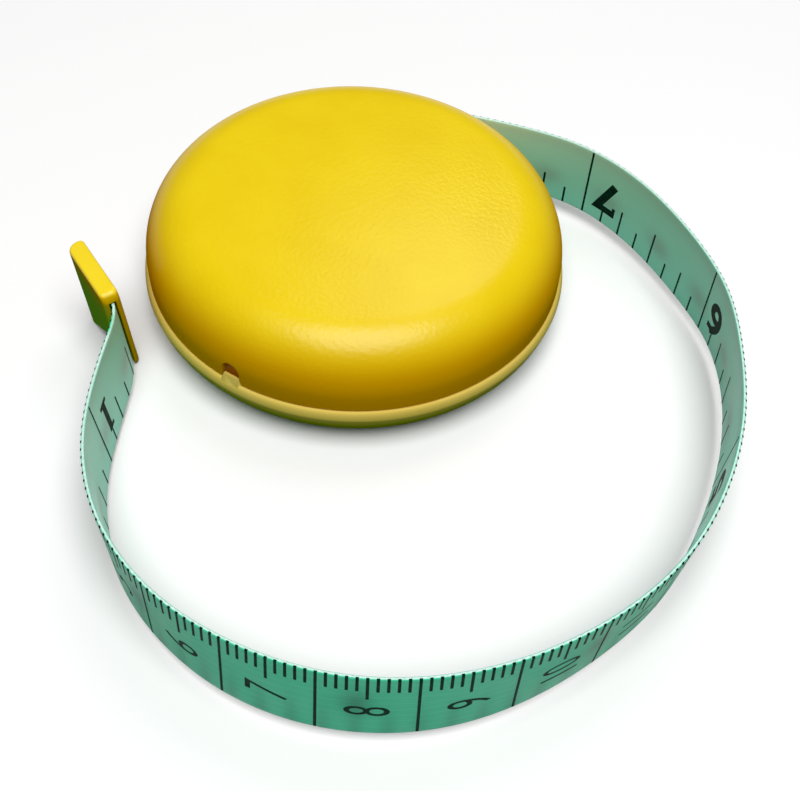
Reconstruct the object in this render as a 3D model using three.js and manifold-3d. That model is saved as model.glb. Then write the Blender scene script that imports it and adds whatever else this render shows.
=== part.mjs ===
// Round push-button pocket tape: a domed case, its reel and springs, and the tape drawn out in a loop.
// Millimetres, +Z up. The origin is the centre of the case's base, on the surface that it stands on.
import * as THREE from 'three';
import { mergeVertices } from 'three/addons/utils/BufferGeometryUtils.js';
import Module from 'manifold-3d';

const wasm = await Module();
wasm.setup();

// Driving sizes of the tape
const tapeWidth = 10.5;
const tapeThickness = 0.4;
const tapeOnReel = 1310;
const turnPitch = 0.42;

// Driving sizes of the case
const partingHeight = 6.3;
const ledgeWidth = 0.55;
const sideWall = 1.2;
const floorThickness = 1.1;
const rimFlat = 0.3;
const rimChamfer = 0.2;
const lowerInnerCorner = 4.4;
const shoulderRadius = 7.2;
const crownRadius = 220;
const coilRoom = 1.8;
const reelRoom = 4.3;
const partingGap = 0.12;
const tongueHeight = 1.2;
const bossRadius = 3.2;
const bossLength = 2.4;

// Clearances
const fitGap = 0.2;
const seatGap = 0.1;
const runningGap = 0.3;
const tapeGap = 0.15;
const mouthGap = 0.35;

// Driving sizes of the button and its washer
const buttonRadius = 7.5;
const buttonRecess = 0.4;
const buttonFlangeWidth = 1.8;
const buttonFlange = 0.6;
const buttonTravel = 0.6;
const buttonWall = 1.2;
const buttonRise = 1.3;
const buttonDish = 0.25;
const buttonEdge = 0.25;
const socketWall = 0.9;
const washerThickness = 0.4;

// Driving sizes of the reel
const flangeThickness = 0.5;
const flangeMargin = 0.5;
const drumRadius = 15;
const drumWall = 1.8;
const drumFloor = 0.8;
const recessMargin = 1.3;
const brakeInset = 1.3;
const brakeWidth = 3;
const brakeThickness = 0.3;
const skirtWall = 0.7;
const skirtDepth = 0.5;
const pinRadius = 0.5;
const pinInset = 0.55;

// Driving sizes of the arbor and the springs
const arborRadius = 2.4;
const arborSquare = 2.8;
const arborSlot = 0.9;
const tenonLength = 1.9;
const springThickness = 0.25;
const springTurns = 7;
const springGap = 0.5;
const coilWire = 0.35;
const coilTurns = 2.5;
const coilTopRadius = 5;
const coilSpread = 3.4;
const coilWasherThickness = 0.25;
const coilWasherMargin = 0.8;

// Driving sizes of the end tab, the cord notch and the guide post
const tabLength = 10.3;
const tabThickness = 2.2;
const tabWall = 1.1;
const tabDrop = 1.2;
const tabLean = 3.4;
const tabFoot = 1.1;
const tabCorner = 0.6;
const tabBevel = 0.3;
const tabEndWall = 0.5;
const tabSlotGap = 0.25;
const jawStart = 1;
const jawAngle = THREE.MathUtils.degToRad(33);
const notchFoot = 3;
const notchWidth = 2.4;
const notchHeight = 3.3;
const notchAngle = THREE.MathUtils.degToRad(-123.9);
const padHeight = 1.1;
const postRadius = 0.7;
const postAngle = THREE.MathUtils.degToRad(59);

// Steps of the round forms, the overrun of every cut and the distance at which points are one
const roundSteps = 64;
const smallSteps = 24;
const arcSteps = 7;
const crownSteps = 4;
const turnSteps = 24;
const wireSides = 6;
const spanSteps = 3;
const overrun = 1;
const weldTolerance = 1e-4;

// Heights, from the floor of the case up through the button, the reel and the spring above it
const brakeBottom = floorThickness + seatGap;
const brakeTop = brakeBottom + brakeThickness;
const reelBottom = brakeTop + seatGap;
const flangeTop = reelBottom + flangeThickness;
const tapeLow = flangeTop + tapeGap;
const tapeTop = tapeLow + tapeWidth;
const coverBottom = tapeTop + tapeGap;
const coverTop = coverBottom + flangeThickness;
const ceilingHeight = coverTop + coilRoom;
const caseHeight = ceilingHeight + sideWall;
const plateTop = floorThickness + runningGap;
const buttonFlangeTop = plateTop + buttonFlange;
const buttonTop = buttonFlangeTop + buttonRise;
const washerBottom = buttonTop + seatGap;
const drumCeiling = washerBottom + washerThickness + seatGap;
const drumFloorTop = drumCeiling + drumFloor;
const springBottom = drumFloorTop + springGap;
const springTop = coverBottom - skirtDepth - springGap;
const bossBottom = ceilingHeight - bossLength;
const arborShoulder = bossBottom - runningGap;
const arborBottom = plateTop + buttonTravel + runningGap;
const tenonTop = bossBottom + tenonLength;
const coilWasherBottom = coverTop + seatGap;
const coilWasherTop = coilWasherBottom + coilWasherThickness;
const footHeight = partingHeight + partingGap;
const padTop = partingHeight + padHeight;

// Radii, from the wound tape outward to the rim of the case
const packInnerRadius = drumRadius + runningGap;
const packRadius = Math.sqrt(packInnerRadius ** 2 + (tapeOnReel * turnPitch) / Math.PI);
const flangeRadius = packRadius + flangeMargin;
const innerRadius = flangeRadius + reelRoom;
const wallRadius = innerRadius + sideWall;
const rimRadius = wallRadius + ledgeWidth;
const tongueRadius = innerRadius + (sideWall - fitGap) / 2;
const lowerCorner = partingHeight - rimFlat - rimChamfer;
const baseRadius = rimRadius - lowerCorner;
const openingRadius = buttonRadius + runningGap;
const bearingRadius = arborRadius + runningGap;
const buttonFlangeRadius = buttonRadius + buttonFlangeWidth;
const drumRecessRadius = buttonFlangeRadius + recessMargin;
const drumInnerRadius = drumRadius - drumWall;
const floorRadius = innerRadius - lowerInnerCorner;
const brakeOuterRadius = floorRadius - brakeInset;

// The dome: a shoulder arc that runs into a flat crown arc of much larger radius
const shoulderCentre = wallRadius - shoulderRadius;
const crownCentre = caseHeight - crownRadius;
const crownReach = crownRadius - shoulderRadius;
const shoulderHeight = crownCentre + Math.sqrt(crownReach ** 2 - shoulderCentre ** 2);
const crownAngle = Math.asin(shoulderCentre / crownReach);

// The tape's route: plan place and height of its lower edge, and the lean of its face in degrees, outward
// positive. It runs from the end held in the tab, round the front of the loop, to the turn that meets the reel.
const tapeRoute = [
  [-32.49, -6.52, tabDrop, tabLean],
  [-30.08, -10.43, tabDrop, tabLean],
  [-27.67, -14.35, tabDrop, tabLean],
  [-27.5, -20.12, 0.91, 5.1],
  [-28.02, -24.57, 0.8, 5.5],
  [-28.33, -33.8, 0.93, 4.3],
  [-25.86, -43.63, 0.97, 2],
  [-20.24, -52.13, 1.14, -1.2],
  [-12.27, -58.52, 1.45, -5],
  [-2.72, -62.02, 1.68, -5.4],
  [7.31, -62.25, 1.66, -3.9],
  [16.88, -59.36, 1.49, -0.1],
  [25.41, -54.41, 1.45, 3.6],
  [32.89, -47.89, 1.57, 4.7],
  [38.51, -39.81, 1.83, 4.1],
  [42.61, -30.9, 2.07, 0.8],
  [44.93, -21.29, 2.24, -3],
  [44.8, -11.6, 2.03, -1.4],
  [41.68, -2.36, 1.93, 1.5],
  [37.06, 6.24, 2.05, 1.6],
  [30.2, 13.4, tapeLow, 0],
  [21.2, 17.6, tapeLow, 0],
  [15.8, 19.3, tapeLow, 0],
  [10.0, 20.6, tapeLow, 0],
  [4.0, 21.2, tapeLow, 0],
  [-1.5, 21.1, tapeLow, 0],
];
const tabNearIndex = 2;
const mouthFirstIndex = 20;
const mouthLastIndex = 23;

// Geometry helpers

// Welds a geometry by position alone, so that it is closed, and turns it outward if it is inside out
function weld(geometry) {
  const bare = new THREE.BufferGeometry();
  const flat = geometry.index ? geometry.toNonIndexed() : geometry;
  bare.setAttribute('position', flat.attributes.position.clone());
  const merged = mergeVertices(bare, weldTolerance);
  const source = merged.index.array;
  const faces = [];
  for (let i = 0; i < source.length; i += 3) {
    const [a, b, c] = source.slice(i, i + 3);
    if (a !== b && b !== c && c !== a) faces.push(a, b, c);
  }
  if (signedVolume(merged.attributes.position, faces) < 0) faces.reverse();
  merged.setIndex(faces);
  return merged;
}

function signedVolume(position, faces) {
  const [a, b, c] = [new THREE.Vector3(), new THREE.Vector3(), new THREE.Vector3()];
  let volume = 0;
  for (let i = 0; i < faces.length; i += 3) {
    a.fromBufferAttribute(position, faces[i]);
    b.fromBufferAttribute(position, faces[i + 1]);
    c.fromBufferAttribute(position, faces[i + 2]);
    volume += a.dot(b.cross(c)) / 6;
  }
  return volume;
}

function toSolid(geometry) {
  const closed = weld(geometry);
  const mesh = new wasm.Mesh({
    numProp: 3,
    vertProperties: new Float32Array(closed.attributes.position.array),
    triVerts: new Uint32Array(closed.index.array),
  });
  return new wasm.Manifold(mesh);
}

function toGeometry(solid) {
  const mesh = solid.getMesh();
  const geometry = new THREE.BufferGeometry();
  geometry.setAttribute('position', new THREE.BufferAttribute(mesh.vertProperties, mesh.numProp));
  geometry.setIndex(new THREE.BufferAttribute(mesh.triVerts, 1));
  return geometry;
}

function cut(body, ...tools) {
  let solid = toSolid(body);
  for (const tool of tools) solid = solid.subtract(toSolid(tool));
  return toGeometry(solid);
}

function join(body, ...others) {
  let solid = toSolid(body);
  for (const other of others) solid = solid.add(toSolid(other));
  return toGeometry(solid);
}

// Turns a profile of [radius, height] points about +Z
function revolve(profile, steps = roundSteps) {
  const points = profile.map(([radius, height]) => new THREE.Vector2(radius, height));
  return new THREE.LatheGeometry(points, steps).rotateX(Math.PI / 2);
}

// A ring or disc with a rectangular section
function ring(inner, outer, bottom, top, steps = roundSteps) {
  return revolve([[inner, bottom], [outer, bottom], [outer, top], [inner, top], [inner, bottom]], steps);
}

function disc(radius, bottom, top, steps = smallSteps) {
  return revolve([[0, bottom], [radius, bottom], [radius, top], [0, top]], steps);
}

// Points of an arc in a profile, from one angle to another
function arc(radius, height, size, from, to, steps = arcSteps) {
  const points = [];
  for (let i = 0; i <= steps; i += 1) {
    const angle = from + ((to - from) * i) / steps;
    points.push([radius + size * Math.cos(angle), height + size * Math.sin(angle)]);
  }
  return points;
}

// A band with a rectangular section, from the points of its lower edge and those of its upper edge
function band(lower, upper, thickness) {
  const positions = [];
  const side = new THREE.Vector3();
  for (let i = 0; i < lower.length; i += 1) {
    const before = lower[Math.max(i - 1, 0)];
    const after = lower[Math.min(i + 1, lower.length - 1)];
    side.subVectors(after, before).cross(upper[i].clone().sub(lower[i])).normalize();
    for (const [edge, sign] of [[lower, 1], [upper, 1], [upper, -1], [lower, -1]]) {
      positions.push(...edge[i].clone().addScaledVector(side, (sign * thickness) / 2));
    }
  }
  const faces = [0, 1, 2, 0, 2, 3];
  const last = (lower.length - 1) * 4;
  faces.push(last, last + 2, last + 1, last, last + 3, last + 2);
  for (let i = 0; i < last; i += 4) {
    for (let k = 0; k < 4; k += 1) {
      const next = (k + 1) % 4;
      faces.push(i + k, i + 4 + k, i + 4 + next, i + k, i + 4 + next, i + next);
    }
  }
  const geometry = new THREE.BufferGeometry();
  geometry.setAttribute('position', new THREE.BufferAttribute(new Float32Array(positions), 3));
  geometry.setIndex(faces);
  return weld(geometry);
}

// Prints the least gap that a wound form keeps to itself, from the points of its centre line
function reportLeastGap(name, points, thickness, pointsPerTurn) {
  let least = Infinity;
  for (let i = 0; i < points.length; i += 1) {
    for (let j = i + Math.ceil(pointsPerTurn / 2); j < points.length; j += 1) {
      least = Math.min(least, points[i].distanceTo(points[j]));
    }
  }
  console.log(`${name}: least gap to itself ${(least - thickness).toFixed(2)} mm`);
}

function solidMesh(name, geometry, color, roughness, metalness = 0) {
  const closed = weld(geometry);
  closed.computeVertexNormals();
  const material = new THREE.MeshStandardMaterial({ color, roughness, metalness });
  const mesh = new THREE.Mesh(closed, material);
  mesh.name = name;
  return mesh;
}

// The tape's edges

function routeEdges() {
  const lower = tapeRoute.map(([x, y, z]) => new THREE.Vector3(x, y, z));
  const upper = lower.map((point, i) => {
    const before = lower[Math.max(i - 1, 0)];
    const after = lower[Math.min(i + 1, lower.length - 1)];
    const outward = new THREE.Vector3(after.y - before.y, before.x - after.x, 0).normalize();
    const lean = THREE.MathUtils.degToRad(tapeRoute[i][3]);
    const rise = new THREE.Vector3(0, 0, Math.cos(lean)).addScaledVector(outward, Math.sin(lean));
    return point.clone().addScaledVector(rise, tapeWidth);
  });
  return [lower, upper];
}

// Points along both edges between two places of the route
function edgePoints(first, last) {
  const spans = tapeRoute.length - 1;
  return routeEdges().map((points) => {
    const curve = new THREE.CatmullRomCurve3(points);
    const result = [];
    for (let i = first * spanSteps; i <= last * spanSteps; i += 1) {
      result.push(curve.getPoint(i / (spans * spanSteps)));
    }
    return result;
  });
}

function freeTape() {
  const [lower, upper] = edgePoints(0, tapeRoute.length - 1);
  return band(lower, upper, tapeThickness);
}

// The slot that the tape leaves the case through: the tape's own path with room all round
function mouthCut() {
  const [lower, upper] = edgePoints(mouthFirstIndex, mouthLastIndex);
  lower.forEach((point) => point.setZ(point.z - mouthGap));
  upper.forEach((point) => point.setZ(point.z + mouthGap));
  return band(lower, upper, tapeThickness + mouthGap * 2);
}

// The case

function lowerShell() {
  const body = revolve([
    [openingRadius, 0],
    ...arc(baseRadius, lowerCorner, lowerCorner, -Math.PI / 2, 0),
    [rimRadius, partingHeight - rimChamfer],
    [rimRadius - rimChamfer, partingHeight],
    [tongueRadius, partingHeight],
    [tongueRadius, partingHeight + tongueHeight],
    [innerRadius, partingHeight + tongueHeight],
    ...arc(floorRadius, floorThickness + lowerInnerCorner, lowerInnerCorner, 0, -Math.PI / 2),
    [openingRadius, floorThickness],
    [openingRadius, 0],
  ]);
  const postPlace = flangeRadius + runningGap + postRadius;
  const post = disc(postRadius, floorThickness / 2, tapeTop);
  post.translate(postPlace * Math.cos(postAngle), postPlace * Math.sin(postAngle), 0);
  return join(cut(body, mouthCut()), post, notchPad());
}

function upperShell() {
  const rabbetRadius = tongueRadius + fitGap;
  const rabbetTop = partingHeight + tongueHeight + fitGap;
  const innerShoulder = shoulderRadius - sideWall;
  const innerCrown = crownRadius - sideWall;
  const crownStart = Math.PI / 2 - crownAngle;
  const bossJoin = Math.acos(bossRadius / innerCrown);
  const body = revolve([
    [0, caseHeight],
    ...arc(0, crownCentre, crownRadius, Math.PI / 2, crownStart, crownSteps).slice(1, -1),
    ...arc(shoulderCentre, shoulderHeight, shoulderRadius, crownStart, 0),
    [wallRadius, footHeight],
    [rabbetRadius, footHeight],
    [rabbetRadius, rabbetTop],
    [innerRadius, rabbetTop],
    ...arc(shoulderCentre, shoulderHeight, innerShoulder, 0, crownStart),
    ...arc(0, crownCentre, innerCrown, crownStart, bossJoin, 1).slice(1),
    [bossRadius, bossBottom],
    [0, bossBottom],
  ]);
  const socketSide = arborSquare + seatGap * 2;
  const socketDepth = tenonLength + seatGap;
  const socket = new THREE.BoxGeometry(socketSide, socketSide, socketDepth + overrun);
  socket.translate(0, 0, bossBottom + (socketDepth - overrun) / 2);
  return cut(body, mouthCut(), notchCut(), socket);
}

// An arch through the foot of the upper wall, for a cord, over a pad that narrows as it rises
function notchCut() {
  const half = notchWidth / 2;
  const foot = notchFoot / 2;
  const spring = footHeight + notchHeight - half;
  const arch = new THREE.Shape();
  arch.moveTo(-foot, footHeight - overrun);
  arch.lineTo(foot, footHeight - overrun);
  arch.lineTo(foot, footHeight);
  arch.lineTo(half, padTop);
  arch.absarc(0, spring, half, 0, Math.PI);
  arch.lineTo(-half, padTop);
  arch.lineTo(-foot, footHeight);
  arch.closePath();
  return throughWall(arch, innerRadius - overrun, wallRadius + overrun);
}

// The pad of the lower shell that fills the foot of the notch
function notchPad() {
  const half = notchWidth / 2 - fitGap;
  const foot = notchFoot / 2 - fitGap;
  const side = new THREE.Shape();
  side.moveTo(-foot, lowerCorner);
  side.lineTo(foot, lowerCorner);
  side.lineTo(foot, partingHeight);
  side.lineTo(half, padTop);
  side.lineTo(-half, padTop);
  side.lineTo(-foot, partingHeight);
  side.closePath();
  return throughWall(side, (innerRadius + tongueRadius) / 2, wallRadius - seatGap);
}

// Stands an outline up at the notch and carries it outward from one radius to another
function throughWall(outline, start, end) {
  const options = { depth: end - start, bevelEnabled: false, curveSegments: arcSteps };
  const tool = new THREE.ExtrudeGeometry(outline, options);
  tool.rotateX(Math.PI / 2).rotateZ(notchAngle + Math.PI / 2);
  return tool.translate(start * Math.cos(notchAngle), start * Math.sin(notchAngle), 0);
}

function brakeRing() {
  return ring(brakeOuterRadius - brakeWidth, brakeOuterRadius, brakeBottom, brakeTop);
}

// The button, which lifts the reel off the brake through its washer

function pushButton() {
  const socketRadius = bearingRadius + socketWall;
  const wallInner = buttonRadius - buttonWall;
  return revolve([
    [0, buttonRecess + buttonDish],
    [wallInner, buttonRecess],
    [buttonRadius - buttonEdge, buttonRecess],
    [buttonRadius, buttonRecess + buttonEdge],
    [buttonRadius, plateTop],
    [buttonFlangeRadius, plateTop],
    [buttonFlangeRadius, buttonFlangeTop],
    [buttonRadius, buttonFlangeTop],
    [buttonRadius, buttonTop],
    [wallInner, buttonTop],
    [wallInner, plateTop],
    [socketRadius, plateTop],
    [socketRadius, buttonTop],
    [bearingRadius, buttonTop],
    [bearingRadius, plateTop],
    [0, plateTop],
  ], smallSteps * 2);
}

function thrustWasher() {
  const inner = buttonRadius - buttonWall;
  return ring(inner, buttonFlangeRadius, washerBottom, washerBottom + washerThickness, smallSteps * 2);
}

// The reel

function reelDrum() {
  const body = revolve([
    [bearingRadius, drumCeiling],
    [drumRecessRadius, drumCeiling],
    [drumRecessRadius, reelBottom],
    [flangeRadius, reelBottom],
    [flangeRadius, flangeTop],
    [drumRadius, flangeTop],
    [drumRadius, tapeTop],
    [drumInnerRadius, tapeTop],
    [drumInnerRadius, drumFloorTop],
    [bearingRadius, drumFloorTop],
    [bearingRadius, drumCeiling],
  ], smallSteps * 2);
  const groove = disc(pinRadius + runningGap, flangeTop, tapeTop + overrun, arcSteps * 2);
  groove.translate(drumRadius - pinInset, 0, 0);
  return cut(body, groove);
}

function reelCover() {
  const skirtRadius = drumInnerRadius - fitGap;
  const holeRadius = bossRadius + runningGap;
  return revolve([
    [holeRadius, coverBottom],
    [skirtRadius - skirtWall, coverBottom],
    [skirtRadius - skirtWall, coverBottom - skirtDepth],
    [skirtRadius, coverBottom - skirtDepth],
    [skirtRadius, coverBottom],
    [flangeRadius, coverBottom],
    [flangeRadius, coverTop],
    [holeRadius, coverTop],
    [holeRadius, coverBottom],
  ], smallSteps * 2);
}

// The tape left on the reel: a plain core whose outer turn steps in by one thickness where the tape leaves it
function woundTape() {
  const outline = new THREE.Shape();
  const steps = turnSteps * 2;
  outline.moveTo(packRadius - tapeThickness, 0);
  for (let i = 1; i < steps; i += 1) {
    const angle = (Math.PI * 2 * i) / steps;
    const radius = packRadius - tapeThickness + (tapeThickness * i) / steps;
    outline.lineTo(radius * Math.cos(angle), radius * Math.sin(angle));
  }
  outline.lineTo(packRadius, 0);
  const bore = new THREE.Path();
  bore.absarc(0, 0, packInnerRadius, 0, Math.PI * 2, true);
  outline.holes.push(bore);
  const options = { depth: tapeWidth, bevelEnabled: false, curveSegments: turnSteps };
  const turned = new THREE.ExtrudeGeometry(outline, options);
  return turned.rotateZ(Math.PI / 2).translate(0, 0, tapeLow);
}

function tapeAnchor() {
  const pin = disc(pinRadius, flangeTop + seatGap, tapeTop - seatGap, arcSteps * 2);
  return pin.translate(drumRadius - pinInset, 0, 0);
}

// The arbor and the springs

function springArbor() {
  const body = disc(arborRadius, arborBottom, arborShoulder);
  const tenonHeight = tenonTop - arborShoulder + seatGap;
  const tenon = new THREE.BoxGeometry(arborSquare, arborSquare, tenonHeight);
  tenon.translate(0, 0, tenonTop - tenonHeight / 2);
  const slotHeight = springTop - springBottom + runningGap * 2;
  const slot = new THREE.BoxGeometry((arborRadius + overrun) * 2, arborSlot, slotHeight);
  slot.translate(0, 0, (springTop + springBottom) / 2);
  return cut(join(body, tenon), slot);
}

// Centre line of the mainspring: a tail across the arbor's slot, then a spiral out to the drum's wall
function mainspringLine() {
  const inner = arborRadius + springThickness + runningGap * 3;
  const outer = drumInnerRadius - fitGap - springThickness / 2;
  const points = [
    new THREE.Vector3(-arborRadius / 2, 0, springBottom),
    new THREE.Vector3(arborRadius / 2, 0, springBottom),
    new THREE.Vector3(arborRadius + runningGap, 0, springBottom),
  ];
  const steps = Math.round(springTurns * turnSteps);
  for (let i = 1; i <= steps; i += 1) {
    const angle = (Math.PI * 2 * i) / turnSteps;
    const radius = inner + ((outer - inner) * i) / steps;
    points.push(new THREE.Vector3(radius * Math.cos(angle), radius * Math.sin(angle), springBottom));
  }
  return points;
}

function mainspring() {
  const lower = mainspringLine();
  const upper = lower.map((point) => point.clone().setZ(springTop));
  reportLeastGap('mainspring', lower, springThickness, turnSteps);
  return band(lower, upper, springThickness);
}

// A conical coil that widens as it goes down from the ceiling to its washer
class ConeCoil extends THREE.Curve {
  getPoint(t, target = new THREE.Vector3()) {
    const angle = Math.PI * 2 * coilTurns * t;
    const radius = coilTopRadius + coilSpread * t;
    const ceiling = crownCentre + Math.sqrt((crownRadius - sideWall) ** 2 - coilTopRadius ** 2);
    const top = ceiling - seatGap - coilWire / 2;
    const bottom = coilWasherTop + seatGap + coilWire / 2;
    return target.set(radius * Math.cos(angle), radius * Math.sin(angle), top + (bottom - top) * t);
  }
}

function returnSpring() {
  const path = new ConeCoil();
  const steps = Math.round(coilTurns * turnSteps);
  const wire = new THREE.Shape();
  wire.absarc(0, 0, coilWire / 2, 0, Math.PI * 2);
  reportLeastGap('return spring', path.getPoints(steps), coilWire, turnSteps);
  const sides = wire.getPoints(wireSides / 2);
  return new THREE.ExtrudeGeometry(new THREE.Shape(sides), { steps, extrudePath: path, curveSegments: 1 });
}

function coilWasher() {
  const inner = bossRadius + coilWasherMargin;
  const outer = coilTopRadius + coilSpread + coilWasherMargin;
  return ring(inner, outer, coilWasherBottom, coilWasherTop, smallSteps * 2);
}

// The end tab, a clip that is open below and stands over the first stretch of the tape

function endTab() {
  const [farX, farY] = tapeRoute[0];
  const [nearX, nearY] = tapeRoute[tabNearIndex];
  const heading = Math.atan2(nearY - farY, nearX - farX);
  const half = tabThickness / 2;
  const slotTop = tapeWidth + tabSlotGap;
  const depth = tabFoot + slotTop + tabWall - tabBevel * 2;
  const bevel = { bevelThickness: tabBevel, bevelSize: tabBevel, bevelSegments: 2 };
  const body = new THREE.ExtrudeGeometry(tabPlan(half), { depth, ...bevel, curveSegments: arcSteps });
  body.translate(0, 0, tabBevel - tabFoot);
  const slotLength = tabLength - tabEndWall + overrun;
  const slotHeight = tabFoot + slotTop + overrun;
  const slot = new THREE.BoxGeometry(slotLength, tapeThickness + tabSlotGap * 2, slotHeight);
  slot.translate(tabEndWall + slotLength / 2, 0, slotTop - slotHeight / 2);
  const tab = cut(body, slot, jawCut(half));
  tab.translate(-tabLength, 0, 0);
  tab.rotateX(THREE.MathUtils.degToRad(tabLean)).rotateZ(heading);
  return tab.translate(nearX, nearY, tabDrop);
}

// The tab seen from above, less its bevel: a full round far end and small round corners at the near end
function tabPlan(half) {
  const plan = new THREE.Shape();
  const corner = tabCorner - tabBevel;
  plan.absarc(half, 0, half - tabBevel, Math.PI / 2, Math.PI * 1.5);
  plan.absarc(tabLength - tabCorner, tabCorner - half, corner, -Math.PI / 2, 0);
  plan.absarc(tabLength - tabCorner, half - tabCorner, corner, 0, Math.PI / 2);
  plan.closePath();
  return plan;
}

// Cuts the foot of the outer jaw on a slant, so that it rises towards the near end
function jawCut(half) {
  const reach = tabLength + overrun;
  const side = new THREE.Shape();
  side.moveTo(jawStart, -tabFoot);
  side.lineTo(reach, (reach - jawStart) * Math.tan(jawAngle) - tabFoot);
  side.lineTo(reach, -tabFoot - overrun);
  side.lineTo(jawStart, -tabFoot - overrun);
  side.closePath();
  const wedge = new THREE.ExtrudeGeometry(side, { depth: half + overrun, bevelEnabled: false });
  return wedge.rotateX(Math.PI / 2);
}

const yellow = 0xf0cd32;
const paleYellow = 0xe3d264;
const steel = 0xb9bcc0;
const springSteel = 0x6f7c8c;
const tapeGreen = 0x4fa68c;
const white = 0xe8e6df;
const rubber = 0x2a2b2d;

const tapeMeasure = new THREE.Group();
tapeMeasure.add(
  solidMesh('upper_shell', upperShell(), yellow, 0.45),
  solidMesh('lower_shell', lowerShell(), paleYellow, 0.45),
  solidMesh('spring_arbor', springArbor(), steel, 0.35, 1),
  solidMesh('brake_ring', brakeRing(), rubber, 0.9),
  solidMesh('push_button', pushButton(), yellow, 0.45),
  solidMesh('thrust_washer', thrustWasher(), white, 0.5),
  solidMesh('reel_drum', reelDrum(), white, 0.5),
  solidMesh('reel_cover', reelCover(), white, 0.5),
  solidMesh('wound_tape', woundTape(), tapeGreen, 0.4),
  solidMesh('tape_anchor', tapeAnchor(), steel, 0.35, 1),
  solidMesh('mainspring', mainspring(), springSteel, 0.3, 1),
  solidMesh('return_spring', returnSpring(), steel, 0.3, 1),
  solidMesh('coil_washer', coilWasher(), steel, 0.3, 1),
  solidMesh('free_tape', freeTape(), tapeGreen, 0.4),
  solidMesh('end_tab', endTab(), yellow, 0.4),
);

export default tapeMeasure;
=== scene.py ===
import math

import bmesh
import bpy
import numpy as np
from mathutils import Matrix, Quaternion, Vector


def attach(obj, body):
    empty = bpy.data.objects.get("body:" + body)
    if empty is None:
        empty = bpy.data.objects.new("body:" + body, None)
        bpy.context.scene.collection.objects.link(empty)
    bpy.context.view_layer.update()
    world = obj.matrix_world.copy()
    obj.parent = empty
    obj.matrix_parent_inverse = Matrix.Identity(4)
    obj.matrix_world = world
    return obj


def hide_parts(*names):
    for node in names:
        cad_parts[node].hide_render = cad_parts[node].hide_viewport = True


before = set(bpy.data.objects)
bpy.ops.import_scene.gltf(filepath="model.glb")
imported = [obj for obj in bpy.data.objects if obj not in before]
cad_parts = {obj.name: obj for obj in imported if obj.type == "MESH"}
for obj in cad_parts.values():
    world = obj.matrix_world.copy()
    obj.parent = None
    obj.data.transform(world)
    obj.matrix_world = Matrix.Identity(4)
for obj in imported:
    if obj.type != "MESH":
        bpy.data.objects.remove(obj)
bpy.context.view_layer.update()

MM = 0.001

# Driving sizes of the tape
TAPE_WIDTH = 10.5 * MM
TAPE_THICKNESS = 0.4 * MM
TAPE_ON_REEL = 1310 * MM
TURN_PITCH = 0.42 * MM
EDGE_ROUND = 0.13 * MM
STATION_STEP = 0.5 * MM

# Driving sizes of the case
PARTING_HEIGHT = 6.3 * MM
LEDGE_WIDTH = 0.55 * MM
SIDE_WALL = 1.2 * MM
FLOOR_THICKNESS = 1.1 * MM
RIM_BAND = 0.5 * MM
LOWER_INNER_CORNER = 4.4 * MM
SHOULDER_RADIUS = 7.2 * MM
CROWN_RADIUS = 220 * MM
COIL_ROOM = 1.8 * MM
REEL_ROOM = 4.3 * MM
PARTING_GAP = 0.12 * MM
TONGUE_HEIGHT = 1.2 * MM
BOSS_RADIUS = 3.2 * MM
BOSS_LENGTH = 2.4 * MM
EDGE_FILLET = 0.15 * MM
SOFT_FILLET = 0.28 * MM
ROLL_WIDTH = 0.5 * MM
ROLL_HEIGHT = 1.4 * MM

# Clearances
FIT_GAP = 0.2 * MM
SEAT_GAP = 0.1 * MM
RUNNING_GAP = 0.3 * MM
TAPE_GAP = 0.15 * MM
MOUTH_GAP = 0.35 * MM

# Driving sizes of the button and the reel
BUTTON_RADIUS = 7.5 * MM
BUTTON_RECESS = 0.4 * MM
BUTTON_FLANGE_WIDTH = 1.8 * MM
BUTTON_FLANGE = 0.6 * MM
BUTTON_WALL = 1.2 * MM
BUTTON_RISE = 1.3 * MM
BUTTON_DISH = 0.25 * MM
SOCKET_WALL = 0.9 * MM
BRAKE_THICKNESS = 0.3 * MM
WASHER_THICKNESS = 0.4 * MM
FLANGE_THICKNESS = 0.5 * MM
FLANGE_MARGIN = 0.5 * MM
DRUM_RADIUS = 15 * MM
DRUM_WALL = 1.8 * MM
DRUM_FLOOR = 0.8 * MM
SKIRT_DEPTH = 0.5 * MM

# Driving sizes of the arbor and the springs
ARBOR_RADIUS = 2.4 * MM
ARBOR_SQUARE = 2.8 * MM
TENON_LENGTH = 1.9 * MM
SPRING_THICKNESS = 0.25 * MM
SPRING_TURNS = 7
SPRING_GAP = 0.5 * MM
COIL_WIRE = 0.35 * MM
COIL_TURNS = 2.5
COIL_TOP_RADIUS = 5 * MM
COIL_SPREAD = 3.4 * MM
COIL_SHARE = 0.3 * MM
WIRE_ROUND = COIL_WIRE * 0.45
COIL_WASHER_THICKNESS = 0.25 * MM

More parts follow.
